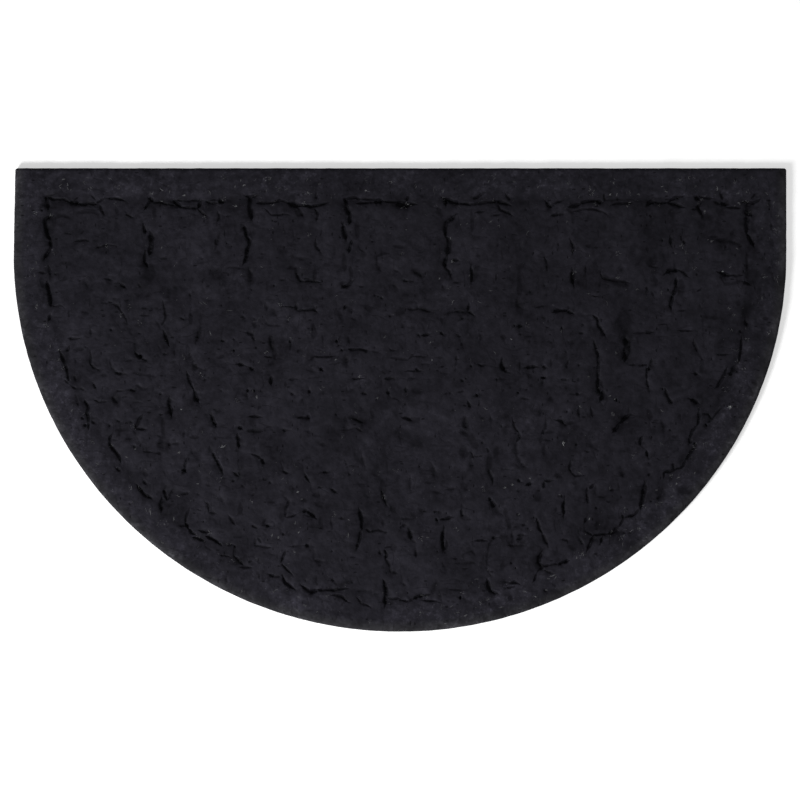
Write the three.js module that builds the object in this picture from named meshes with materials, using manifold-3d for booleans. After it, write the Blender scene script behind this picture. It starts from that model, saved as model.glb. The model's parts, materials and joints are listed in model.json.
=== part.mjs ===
// A half-moon rubber doormat: one slab of pressed black rubber, lying flat.
// Units are millimetres, +Z is up, and the origin is on the floor under the middle of the mat's box.
// +X runs along the straight side, and -Y points at the middle of the round side.

import * as THREE from 'three';
import { mergeVertices } from 'three/addons/utils/BufferGeometryUtils.js';
import Module from 'manifold-3d';

// ---- Driving dimensions of the slab ----

const WIDTH = 750;              // along the straight side
const DEPTH = 450;              // from the straight side to the middle of the round side
const THICKNESS = 8;            // up to the flat of the slab
const FLANK = 84;               // length of each straight flank, before the round side begins
const LEFT_CORNER_IN = 1.6;     // the left back corner sits this far inside the widest point
const CORNER_RADIUS = 2.5;      // of the two back corners, in plan
const EDGE_WIDTH = 4;           // the rounded upper edge reaches this far in from the outline
const EDGE_DROP = 3.5;          // and falls this far below the flat
const CORNER_STEPS = 3;         // facets of a back corner
const ROUND_STEPS = 80;         // facets of the round side
const EDGE_STEPS = 4;           // facets of the rounded upper edge

// ---- Driving dimensions of the fissures, where the rubber has parted between its moulded blocks ----

const RIM = 34;                 // plain border between the outline and the seam that follows the round side
const FISSURE_LIFT = 0.05;      // a cutter's middle line lies this far above the flat
const FISSURE_RINGS = 6;        // sections along a cutter
const FISSURE_TAPER = 0.7;      // below 1 a fissure stays wide for longer before it tapers out
const SWAY = 0.9;               // how far a fissure wanders to either side
const SWAY_LENGTH = 17;         // length of one wander, there and back
const LEAST_DEPTH = 1.2;        // depth of the narrowest fissure
const DEPTH_PER_GAPE = 0.45;    // extra depth for each millimetre of gape

// ---- Places worked out from them ----

const HALF = WIDTH / 2;
const BACK = DEPTH / 2;
const ROUND_CENTRE_Y = BACK - FLANK;
const ROUND_REACH = DEPTH - FLANK;

/** The point at a distance inside the round side, at an angle from its left end. */
function roundPoint(inset, angle) {
  const turned = Math.PI + angle;
  return new THREE.Vector2(
    (HALF - inset) * Math.cos(turned),
    ROUND_CENTRE_Y + (ROUND_REACH - inset) * Math.sin(turned),
  );
}

// A seam is a line in plan. Each kind gives the point at a place along it, moved to one side by a shift.
const seamAcross = (y) => (x, shift) => new THREE.Vector2(x, y + shift);
const seamAlong = (x) => (y, shift) => new THREE.Vector2(x + shift, y);
const seamRound = (inset) => (degrees, shift) => (
  roundPoint(inset + shift, THREE.MathUtils.degToRad(degrees))
);

// Each row is one fissure. Its columns are from and to, two places along the seam, then shift and gape.
// Places on the round seam are degrees from its left end. All else is in millimetres.
const SEAMS = [
  { name: 'back of the blocks', at: seamAcross(BACK - 32), fissures: [
    [-347, -293, 2, 2.6], [-246, -193, -2, 3.4], [-139, -70, -2, 3.4], [-55, 19, -1, 3.6],
    [40, 107, -1, 4.0], [163, 201, -1, 4.0], [238, 275, -1, 3.4], [304, 331, -4, 3.0], [333, 350, 0, 2.8],
  ] },
  { name: 'left flank of the blocks', at: seamAlong(-342), fissures: [
    [181, 166, -1, 3.0], [163, 138, 3, 3.4], [116, 92, 2, 3.0],
  ] },
  { name: 'right flank of the blocks', at: seamAlong(337), fissures: [
    [187, 160, 0, 5.0], [156, 146, 5, 3.6],
  ] },
  { name: 'rim of the round side', at: seamRound(RIM), fissures: [
    [15.9, 20.2, 0, 3.2], [24.4, 28.9, -3, 3.0], [32.1, 38.3, 0, 3.4], [41.5, 45.2, -2, 3.4],
    [50.8, 54.0, -1, 3.4], [57.5, 63.8, -4, 2.2], [67.9, 70.2, -2, 2.2], [73.4, 80.8, -1, 4.0],
    [88.4, 93.6, -3, 3.0], [112.8, 116.0, -3, 3.6], [121.8, 126.2, -3, 3.4], [127.2, 132.4, -2, 2.8],
    [133.6, 136.3, 2, 6.0], [142.6, 146.2, -3, 3.0], [147.0, 151.6, 6, 3.2], [157.0, 160.4, 4, 3.6],
    [162.0, 166.5, -3, 3.0],
  ] },
  { name: 'between the back blocks', at: seamAlong(0), fissures: [
    [172, 164, -248, 2.4], [162, 143, -242, 4.6], [140, 127, -247, 3.0], [198, 174, -146, 4.4],
    [170, 133, -150, 3.2], [192, 168, -50, 4.0], [155, 142, -48, 2.8], [172, 153, 43, 4.0],
    [151, 130, 45, 4.0], [132, 113, 68, 2.6], [127, 112, 167, 3.0], [116, 88, 264, 3.8],
  ] },
  { name: 'foot of the back blocks', at: seamAcross(115), fissures: [
    [-100, -77, 0, 2.4], [259, 280, 9, 3.0], [308, 330, 6, 3.4],
  ] },
  { name: 'top of the middle panel', at: seamAcross(87), fissures: [
    [-101, -79, 0, 2.4], [45, 70, -1, 2.8], [150, 169, 0, 3.4],
  ] },
  { name: 'flanks of the middle panel', at: seamAlong(0), fissures: [
    [75, 53, -228, 2.4], [29, -3, -203, 2.6], [4, -16, -223, 4.4],
    [58, 29, 189, 2.4], [24, -1, 193, 4.0], [59, 37, 218, 6.0],
  ] },
  { name: 'between the front blocks', at: seamAlong(0), fissures: [
    [-176, -194, -14, 4.6], [-145, -158, -14, 3.4], [-174, -187, 84, 3.8], [-146, -160, -113, 3.4],
    [-106, -143, -39, 3.6], [-126, -147, 43, 5.0], [-150, -163, 135, 5.0], [-98, -113, 157, 3.0],
    [-44, -70, -178, 3.4],
  ] },
  { name: 'between the right-hand blocks', at: seamAlong(0), fissures: [
    [41, 9, 239, 3.0], [-6, -32, 214, 4.4],
  ] },
];

// Close to black, with a trace of blue.
const RUBBER = { color: new THREE.Color(0.0125, 0.0125, 0.0145), roughness: 0.8, metalness: 0 };

const wasm = await Module();
wasm.setup();

/** A three.js geometry as a manifold-3d solid. */
function solidOf(geometry) {
  const bare = geometry.clone();
  bare.deleteAttribute('normal');
  bare.deleteAttribute('uv');
  const merged = mergeVertices(bare);
  return new wasm.Manifold(new wasm.Mesh({
    numProp: 3,
    vertProperties: merged.attributes.position.array,
    triVerts: new Uint32Array(merged.index.array),
  }));
}

/** A manifold-3d solid as a three.js geometry. */
function geometryOf(solid) {
  const { vertProperties, triVerts } = solid.getMesh();
  const geometry = new THREE.BufferGeometry();
  geometry.setAttribute('position', new THREE.BufferAttribute(vertProperties, 3));
  geometry.setIndex(new THREE.BufferAttribute(triVerts, 1));
  geometry.computeVertexNormals();
  return geometry;
}

/** The points of a back corner, from one flank to the other around it, anticlockwise. */
function backCorner(x, y, startAngle, radius) {
  const centre = new THREE.Vector2(x, y);
  return Array.from({ length: CORNER_STEPS + 1 }, (_, i) => {
    const angle = startAngle + (Math.PI / 2) * (i / CORNER_STEPS);
    return new THREE.Vector2(Math.cos(angle), Math.sin(angle)).multiplyScalar(radius).add(centre);
  });
}

/** The outline in plan, moved inwards by an inset, anticlockwise from the right back corner. */
function outline(inset) {
  const radius = Math.max(CORNER_RADIUS - inset, CORNER_RADIUS / 5);
  const cornerY = BACK - inset - radius;
  const cornerX = HALF - inset - radius;
  const roundSide = Array.from({ length: ROUND_STEPS + 1 }, (_, i) => (
    roundPoint(inset, Math.PI * (i / ROUND_STEPS))
  ));
  return [
    ...backCorner(cornerX, cornerY, 0, radius),
    ...backCorner(-cornerX + LEFT_CORNER_IN, cornerY, Math.PI / 2, radius),
    ...roundSide,
  ];
}

/** The plain slab: a flat underside, an upright side, a rounded upper edge and the flat on top. */
function slab() {
  const levels = [{ inset: 0, z: 0 }];
  for (let i = 0; i <= EDGE_STEPS; i++) {
    const angle = (Math.PI / 2) * (i / EDGE_STEPS);
    levels.push({
      inset: EDGE_WIDTH * (1 - Math.cos(angle)),
      z: THICKNESS - EDGE_DROP * (1 - Math.sin(angle)),
    });
  }
  const rings = levels.map(({ inset }) => outline(inset));
  const count = rings[0].length;
  const positions = rings.flatMap((ring, level) => ring.flatMap(({ x, y }) => [x, y, levels[level].z]));

  const triangles = [];
  for (let level = 1; level < rings.length; level++) {
    for (let i = 0; i < count; i++) {
      const next = (i + 1) % count;
      const below = (level - 1) * count;
      const above = level * count;
      triangles.push(below + i, below + next, above + next, below + i, above + next, above + i);
    }
  }
  const top = (rings.length - 1) * count;
  for (const [a, b, c] of THREE.ShapeUtils.triangulateShape(rings[0], [])) {
    triangles.push(c, b, a, top + a, top + b, top + c);
  }
  const geometry = new THREE.BufferGeometry();
  geometry.setAttribute('position', new THREE.Float32BufferAttribute(positions, 3));
  geometry.setIndex(triangles);
  return geometry;
}

/** The cutter for one fissure: a three-sided spindle, ridge down, that sways and tapers at both ends. */
function fissureCutter(start, end, gape, phase) {
  const run = end.clone().sub(start);
  const length = run.length();
  const profile = Array.from({ length: FISSURE_RINGS + 1 }, (_, i) => {
    const t = i / FISSURE_RINGS;
    const isEnd = i === 0 || i === FISSURE_RINGS;
    return new THREE.Vector2(isEnd ? 0 : Math.sin(Math.PI * t) ** FISSURE_TAPER, (t - 0.5) * length);
  });

  // A triangle of radius 1 is 2 / sqrt(3) wide at the height of its middle, which lies on the flat.
  const spread = gape * (Math.sqrt(3) / 2);
  const depth = LEAST_DEPTH + DEPTH_PER_GAPE * gape;
  const spindle = new THREE.LatheGeometry(profile, 3);
  const position = spindle.attributes.position;
  for (let i = 0; i < position.count; i++) {
    const sway = SWAY * Math.sin(phase + 2 * Math.PI * (position.getY(i) / SWAY_LENGTH));
    position.setX(i, position.getX(i) * spread + sway);
  }
  const sideways = new THREE.Vector3(-run.y, run.x, 0).normalize();
  const forwards = new THREE.Vector3(run.x, run.y, 0).normalize();
  const downwards = new THREE.Vector3(0, 0, -depth);
  const middle = start.clone().add(end).multiplyScalar(0.5);
  return spindle
    .applyMatrix4(new THREE.Matrix4().makeBasis(sideways, forwards, downwards))
    .translate(middle.x, middle.y, THICKNESS + FISSURE_LIFT);
}

/** The fissures of every seam, cut out of a solid. */
function withFissures(solid) {
  const cutters = SEAMS.flatMap(({ at, fissures }, seam) => (
    fissures.map(([from, to, shift, gape], row) => (
      fissureCutter(at(from, shift), at(to, shift), gape, seam + 2.4 * row)
    ))
  ));
  return cutters.reduce((left, cutter) => left.subtract(solidOf(cutter)), solid);
}

const body = geometryOf(withFissures(solidOf(slab())));
const mat = new THREE.Mesh(body, new THREE.MeshStandardMaterial(RUBBER));
mat.name = 'mat';

const doormat = new THREE.Group();
doormat.add(mat);

export default doormat;
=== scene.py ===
"""A half-moon doormat of pressed black rubber, lying flat on a pale studio floor.

Blender objects are in metres. The relief of the mat is worked out in millimetres, from the middle of
its box: +X along the straight back edge, +Y towards that edge, and heights from the floor.
"""

import json
import logging
import math
import re
from dataclasses import dataclass, field, replace
from enum import Enum

import bpy
import numpy as np
from bpy.types import Node, NodeSocket, NodeTree
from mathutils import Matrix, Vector
from mathutils.bvhtree import BVHTree
from mathutils.geometry import delaunay_2d_cdt

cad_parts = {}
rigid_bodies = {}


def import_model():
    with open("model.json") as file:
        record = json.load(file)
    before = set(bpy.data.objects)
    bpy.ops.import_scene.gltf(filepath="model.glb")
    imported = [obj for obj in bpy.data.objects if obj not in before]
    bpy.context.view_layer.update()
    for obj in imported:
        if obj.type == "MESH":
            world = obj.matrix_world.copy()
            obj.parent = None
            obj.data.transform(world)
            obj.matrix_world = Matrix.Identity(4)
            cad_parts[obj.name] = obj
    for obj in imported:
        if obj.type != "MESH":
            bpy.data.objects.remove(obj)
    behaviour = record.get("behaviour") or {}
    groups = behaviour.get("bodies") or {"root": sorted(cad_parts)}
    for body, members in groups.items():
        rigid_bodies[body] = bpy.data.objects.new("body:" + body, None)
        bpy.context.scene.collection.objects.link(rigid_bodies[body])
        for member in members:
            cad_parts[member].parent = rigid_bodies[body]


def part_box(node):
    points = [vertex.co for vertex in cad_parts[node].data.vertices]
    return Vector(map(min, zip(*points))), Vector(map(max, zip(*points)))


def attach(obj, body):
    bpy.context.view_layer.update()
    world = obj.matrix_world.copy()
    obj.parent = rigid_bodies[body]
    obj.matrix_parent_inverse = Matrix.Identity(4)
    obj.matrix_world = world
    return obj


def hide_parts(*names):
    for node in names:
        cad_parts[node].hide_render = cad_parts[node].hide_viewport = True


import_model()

LOG = logging.getLogger("doormat")

MM = 0.001
BODY = "root"
CAD_NODE = "mat"
PIT_REACH = 0.4

Array = np.ndarray
Place = tuple[float, float]
Triple = tuple[float, float, float]
Ramp = tuple[float, float, float, float]


# ---------------------------------------------------------------- marks in the rubber


class Kind(Enum):
    """What the pressed rubber does along a line."""

    CUT = "it has parted wide, with steep sides"
    SLIT = "it has parted a little"
    CREASE = "it folds in without parting"
    DIP = "it sinks in a soft trough"
    WELT = "it stands up in a low welt"


@dataclass(frozen=True)
class Mark:
    """One fissure, trough or welt.

    Args:
        kind: What the rubber does along the path.
        gape: Width in millimetres.
        path: Places in millimetres that the mark runs through.
    """

    kind: Kind
    gape: float
    path: tuple[Place, ...]


def marks_from(rows: str) -> tuple[Mark, ...]:
    """Reads marks, each written as its kind, its width and the places x,y that it runs through.

    Args:
        rows: The marks, in millimetres. A pit is a small round cut and has one place.

    Returns:
        The marks, in the same order.
    """
    marks = []
    for words in re.findall(r"([a-z]+) ([\d.]+)((?: [-\d.]+,[-\d.]+)+)", rows):
        kind, gape = words[0], float(words[1])
        path = tuple(tuple(float(value) for value in place.split(",")) for place in words[2].split())
        marks.append(pit(gape, *path[0]) if kind == "pit" else Mark(Kind[kind.upper()], gape, path))
    return tuple(marks)


def pit(gape: float, x: float, y: float) -> Mark:
    """A small hole of a width, at a place."""
    return Mark(Kind.CUT, gape, ((x - gape * PIT_REACH, y), (x + gape * PIT_REACH, y)))


CORNER_LEFT = marks_from("""
    cut 2.2 -346,198 -337,195 -326,195 -320,192  cut 4.0 -320,192 -312,191
    cut 2.4 -313,191 -305,189 -302,191 -294,190  cut 2.0 -294,191 -287,195  slit 2.4 -291,189 -287,180
    slit 1.3 -316,193 -311,197  slit 1.5 -299,198 -295,194  cut 2.2 -283,196 -274,195 -266,193
    slit 1.6 -345,196 -334,200  cut 4.6 -343,198 -342,192 -341,186  pit 2.6 -347,184
    cut 3.4 -338,179 -344,175 -343,167 -341,159 -338,155  cut 3.4 -339,155 -338,149 -342,142 -345,137
    slit 2.6 -340,130 -339,121  slit 2.0 -350,124 -344,123  dip 3.0 -348,118 -346,110
    cut 3.4 -342,115 -341,106 -339,97 -338,91  slit 1.6 -338,92 -334,91 -330,92 -326,90
    dip 2.5 -334,176 -331,178 -326,179 -321,177  dip 2.5 -310,182 -298,183 -292,180
    slit 1.7 -316,154 -306,155 -301,154  welt 1.8 -315,157 -305,158  slit 1.7 -294,148 -283,151 -275,150
    welt 1.8 -286,153 -276,152  dip 2.6 -329,133 -318,132  crease 2.6 -305,114 -303,109
    slit 3.0 -271,113 -266,109  slit 2.0 -254,113 -251,109  dip 2.6 -327,116 -324,118
    dip 2.6 -275,186 -274,181  crease 1.6 -290,94 -283,94  slit 2.0 -279,93 -274,91 -270,86 -266,79 -265,75
    crease 2.0 -251,89 -245,89
""")

BACK_LEFT = marks_from("""
    cut 4.8 -244,196 -239,193  cut 3.0 -243,194 -244,191 -247,185  cut 2.0 -239,192 -229,191 -219,189
    cut 4.4 -220,193 -216,190 -212,187  slit 1.8 -217,194 -205,193 -193,193
    cut 2.2 -214,187 -205,187 -196,186  cut 3.2 -192,193 -195,189 -196,186
    cut 2.0 -196,186 -192,182 -188,179  crease 1.8 -205,182 -197,179  cut 2.0 -188,193 -183,191 -177,191
    slit 1.2 -187,193 -178,194  cut 4.2 -176,193 -170,192  crease 1.8 -170,194 -162,193
    slit 2.6 -177,183 -175,178 -177,172  crease 2.0 -169,178 -163,179  crease 3.2 -175,162 -177,155 -179,146
    slit 2.4 -178,157 -179,150  dip 3.0 -178,143 -174,143  cut 2.6 -150,198 -144,197 -139,198
    cut 4.6 -145,198 -146,191 -145,183 -144,175  crease 2.4 -141,182 -144,175
    cut 3.2 -151,169 -149,159 -145,154 -148,147 -149,140 -152,132  crease 2.0 -168,127 -165,129 -150,127
    dip 6.0 -146,126 -144,115  crease 3.0 -146,126 -144,121 -145,114  crease 1.8 -233,137 -225,137
    dip 2.4 -239,188 -238,179  cut 2.8 -249,171 -247,162  cut 5.0 -242,163 -241,155 -241,149 -243,141
    cut 3.0 -247,145 -248,135 -245,129  dip 9.0 -243,128 -243,116  slit 2.0 -204,104 -203,100
    slit 2.0 -230,95 -227,80 -231,73  crease 4.2 -130,94 -129,88  slit 1.5 -115,91 -102,90
    cut 2.2 -139,191 -124,191 -116,194 -108,191  cut 4.4 -109,191 -104,190 -98,188
    slit 1.8 -130,185 -127,181 -124,179 -114,180 -107,180  crease 1.6 -104,165 -103,158
    dip 2.0 -109,128 -102,128  pit 2.0 -122,111  pit 1.6 -168,152  pit 1.4 -163,149
    crease 1.5 -194,137 -190,137  dip 9.0 -182,124 -174,120  dip 1.8 -139,138 -132,138  pit 1.8 -144,107
    dip 1.8 -246,101 -242,101  dip 3.0 -219,111 -217,107  pit 1.8 -173,92
""")

BACK_MIDDLE = marks_from("""
    cut 3.0 -104,189 -95,189 -86,188 -77,189 -70,191  slit 2.4 -100,188 -94,179  dip 5.0 -100,182 -96,180
    slit 2.6 -81,201 -81,195  dip 2.4 -95,201 -93,199  cut 2.4 -82,185 -80,180 -81,174
    crease 1.8 -76,166 -77,159  slit 2.6 -82,155 -81,149 -78,144  cut 4.0 -53,195 -51,187 -49,179 -49,171
    cut 2.4 -55,194 -49,196 -45,196 -38,195  cut 1.6 -38,195 -27,194 -18,195
    cut 2.2 -42,191 -32,191 -25,192  cut 4.4 -25,192 -17,193  cut 2.4 -16,193 -2,192 16,190
    cut 3.8 -4,190 3,189 10,189  cut 2.6 6,193 9,198  cut 3.8 -55,170 -54,164 -52,155
    cut 3.0 -47,155 -48,149 -49,143  crease 2.4 -54,144 -54,140  dip 3.4 -54,139 -54,127
    dip 2.6 -48,128 -47,122 -48,116  slit 3.0 -56,109 -51,111 -45,116  dip 6.0 -56,113 -52,110
    crease 1.6 -41,151 -39,146 -34,143  crease 2.4 -43,134 -39,137  dip 3.0 -42,174 -41,157
    crease 2.8 -23,139 -22,130 -19,125  dip 1.6 -23,139 -17,142 -11,142  dip 2.2 -6,149 5,148
    crease 2.6 -6,126 -1,124  crease 2.8 13,125 21,120  dip 5.0 13,126 22,120  cut 2.2 3,116 8,115
    crease 1.8 8,115 14,115  crease 2.2 -7,112 -3,109  cut 2.0 -19,100 -17,98  slit 3.0 -101,93 -100,87
    slit 2.4 -100,87 -92,87 -84,88 -81,85  crease 3.0 -83,91 -82,87  cut 2.6 -55,88 -52,92
    crease 3.2 -101,129 -100,121  slit 3.0 -100,122 -97,116 -93,115  cut 2.4 -93,115 -86,116 -78,114
    dip 2.4 -82,126 -83,116  dip 2.0 -100,138 -92,136  dip 3.6 -34,91 -29,87  dip 2.4 20,198 23,197
    dip 2.0 5,176 7,176  dip 5.0 -4,83 4,88  slit 1.8 7,88 18,88  crease 2.4 17,88 32,85
    crease 2.8 17,92 17,88  dip 3.5 -60,85 -56,78  dip 3.0 -49,87 -46,86  cut 2.4 -11,82 -8,81
""")

BACK_RIGHT_OF_MIDDLE = marks_from("""
    cut 3.4 43,195 45,189  cut 3.6 41,196 47,194 53,192 58,191  cut 2.4 57,191 68,189 76,191 89,192 95,193
    cut 3.0 94,193 100,191 107,189  slit 2.6 71,195 75,197 80,200  dip 4.0 73,193 79,195
    slit 3.4 102,200 107,194  cut 2.4 95,188 97,184 105,182 108,179  cut 1.6 90,179 97,180
    slit 2.2 74,182 82,183  dip 2.2 69,182 70,176 70,163  cut 3.8 54,180 50,176 45,172 44,165 44,158
    cut 4.6 45,158 48,153 47,146 46,140  cut 3.4 46,140 44,134 43,129  slit 2.8 43,129 48,125 49,120
    slit 2.8 51,136 57,135  crease 2.0 68,162 71,159 78,158  dip 3.2 75,142 77,138
    cut 2.4 69,131 70,123 69,114  dip 5.0 73,126 72,117  dip 3.4 119,131 116,128 116,119 116,103
    slit 2.6 140,139 142,134 143,126  dip 3.6 126,104 129,104  dip 3.0 92,109 95,109
    crease 2.2 41,112 42,108  crease 1.6 51,114 58,114  crease 2.6 45,84 54,86
    cut 2.2 53,86 62,85 66,86 71,82  cut 3.2 67,93 66,86  dip 3.2 20,90 28,86  slit 2.6 59,78 62,80
    crease 2.6 83,91 88,91  crease 3.2 113,97 114,92 117,89  dip 5.0 114,96 117,84  slit 1.6 132,90 140,91
    dip 3.0 37,187 38,181  cut 4.0 141,192 145,188 149,189  slit 2.0 148,190 157,193
    slit 3.0 147,179 154,180  slit 2.2 153,180 160,181  dip 2.4 40,80 41,75  dip 2.4 138,82 140,78
""")

BACK_RIGHT = marks_from("""
    cut 4.0 164,187 170,189 176,191  cut 3.0 175,191 184,193 192,193  cut 4.4 190,193 196,191
    cut 2.2 198,193 198,200  crease 3.4 164,184 169,181  slit 2.0 168,183 178,185 188,185 196,183 201,179
    cut 2.2 204,189 210,191 225,191  crease 1.6 200,194 225,194  crease 2.2 228,193 235,193
    cut 4.6 239,189 243,193 246,191  cut 2.4 246,192 253,191 260,192  cut 3.0 260,191 268,190 275,187
    cut 3.2 260,192 267,196 274,197  slit 2.2 242,180 244,177  dip 5.0 263,184 264,179
    cut 2.4 165,156 168,149 167,142  crease 2.2 192,165 192,157  dip 2.2 180,150 184,149
    cut 3.4 167,126 167,119 168,112  slit 2.0 194,124 196,118 210,116 221,114
    dip 5.0 198,119 210,114 220,112  crease 2.6 217,129 214,125  slit 1.6 241,130 251,129
    dip 7.0 242,133 247,135  cut 3.6 257,123 262,126 270,126  slit 2.6 270,126 275,124 279,120
    cut 3.6 268,118 268,111 266,104 264,99  cut 3.8 265,102 263,96 263,88  dip 6.0 272,114 272,103
    pit 2.4 260,107  slit 2.2 239,110 240,106  dip 2.0 152,120 154,120  slit 2.0 139,112 141,110
    crease 2.2 156,104 158,106  dip 2.2 141,102 143,102  crease 2.2 264,166 264,162  cut 2.6 262,158 263,150
    crease 1.8 274,167 274,161  slit 2.8 275,155 276,151  dip 2.0 239,149 240,144  dip 3.0 246,119 249,113
    pit 1.6 265,143  cut 3.0 149,85 153,87 162,87 168,84  crease 2.4 163,92 163,87
""")

CORNER_RIGHT = marks_from("""
    cut 4.6 286,197 290,194  cut 2.4 290,197 296,196 303,196  cut 2.8 291,190 288,187 293,179
    cut 2.0 283,185 288,185  cut 2.2 311,200 313,195  slit 2.6 305,192 311,190  cut 4.0 311,190 318,190
    cut 2.2 317,187 330,186  dip 6.0 309,183 313,181  cut 3.0 333,192 342,191 349,194
    slit 2.0 340,195 345,200  cut 6.2 338,191 338,184 337,178  cut 5.0 337,180 336,170 336,161
    cut 3.4 336,161 339,156 343,149  cut 4.0 342,154 343,150  cut 2.6 340,184 341,178
    crease 3.4 336,142 337,134 337,126  dip 4.0 337,130 337,118  dip 9.0 341,130 341,114
    cut 2.8 333,115 339,112  cut 3.4 308,124 316,122 322,121  slit 2.6 321,121 332,121
    crease 2.2 311,120 315,113  dip 3.0 315,113 322,113 329,115  crease 1.8 358,195 358,183
    crease 1.8 359,172 361,165 361,157  dip 3.0 358,156 361,150  dip 2.4 350,137 352,137
    slit 2.0 358,130 360,128  slit 2.2 287,122 289,122  crease 2.4 300,158 308,158  dip 2.6 321,160 323,164
    crease 1.9 307,155 321,154 329,151  dip 3.0 307,155 321,154 330,150  dip 6.0 335,92 334,83
    slit 3.8 335,77 336,72  crease 2.4 290,93 292,89 299,90  slit 1.9 353,104 353,101
    dip 2.4 334,104 336,103
""")

LEFT_FIELD = marks_from("""
    slit 2.6 -321,60 -311,60  cut 2.6 -320,53 -323,47  cut 2.8 -329,46 -327,40 -324,33 -322,26 -321,19
    slit 2.4 -316,24 -314,19  slit 1.6 -325,20 -321,16  cut 2.0 -318,13 -314,11  slit 2.4 -310,12 -306,9
    cut 2.0 -300,48 -300,35 -298,32 -293,30  dip 2.2 -316,49 -307,49  dip 2.4 -290,24 -283,24
    crease 2.6 -281,37 -279,31 -275,28  cut 2.6 -276,27 -269,26  crease 2.0 -269,32 -269,26
    crease 2.4 -257,57 -257,46  cut 2.6 -257,47 -254,43 -250,40  slit 2.0 -250,40 -245,38
    cut 4.2 -254,43 -250,41  crease 2.4 -266,38 -259,39  cut 2.8 -229,67 -224,53  slit 2.0 -230,45 -226,44
    dip 1.8 -258,26 -239,23  slit 2.2 -262,10 -256,9  crease 2.6 -256,14 -246,11  slit 2.2 -297,16 -295,11
    crease 1.2 -289,14 -289,6  slit 1.8 -296,0 -291,-2 -285,-1  welt 1.8 -295,2 -286,1
    dip 8.0 -276,4 -275,-4  crease 1.8 -270,3 -264,4  crease 1.7 -260,-2 -252,-2  slit 2.0 -314,5 -312,-5
    cut 2.8 -306,0 -302,-8 -304,-13 -302,-20 -302,-28  cut 2.4 -306,-23 -305,-26
    cut 3.0 -250,-14 -254,-21 -257,-28  slit 3.2 -257,-27 -252,-28 -247,-28
    crease 1.9 -258,-30 -255,-36 -249,-45 -248,-50  slit 1.8 -249,-50 -240,-51  crease 1.6 -241,-51 -231,-53
    crease 2.2 -236,-34 -232,-35  dip 2.2 -274,-29 -265,-29
    cut 3.0 -279,-33 -282,-37 -281,-43 -278,-48 -273,-54 -271,-59  cut 3.8 -224,2 -224,-3 -222,-10 -221,-16
    dip 2.6 -230,-18 -229,-45  dip 9.0 -230,-38 -230,-47  slit 1.8 -235,-50 -231,-51
    crease 2.4 -221,-42 -213,-42  cut 2.8 -339,83 -341,77  pit 2.4 -280,68  crease 2.4 -309,86 -303,85
    crease 1.7 -321,87 -321,80  crease 2.2 -350,70 -341,70  crease 2.6 -300,69 -300,63
    slit 1.7 -252,82 -244,82  crease 2.2 -238,90 -234,88  crease 2.0 -236,76 -232,68
    crease 2.0 -267,97 -262,97  crease 1.8 -290,83 -285,82  crease 2.2 -287,53 -282,55
    crease 2.2 -309,33 -305,33  crease 2.0 -317,40 -313,41  crease 1.6 -245,32 -240,32
    slit 2.4 -233,7 -231,5  crease 2.2 -222,37 -217,38  crease 2.0 -219,49 -218,42  slit 1.5 -275,9 -267,9
    slit 2.4 -309,-16 -307,-19  slit 3.2 -299,-20 -296,-23  slit 2.0 -275,-19 -271,-21
    slit 2.4 -283,-24 -280,-25  crease 2.0 -288,-11 -287,-14  slit 2.2 -262,-20 -259,-22
    slit 2.0 -233,-13 -231,-15  crease 1.8 -272,-29 -272,-38  crease 1.8 -279,-38 -274,-39
    crease 1.6 -267,-38 -259,-37  slit 3.0 -223,-41 -224,-45  slit 2.6 -259,-44 -256,-46
    dip 2.8 -249,-70 -246,-73  slit 1.9 -263,-100 -260,-101  crease 2.6 -216,-68 -213,-70
    crease 2.6 -198,-91 -194,-92  crease 2.2 -209,-30 -210,-36  crease 3.4 -279,3 -274,-3
    crease 2.0 -235,54 -232,48
""")

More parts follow.
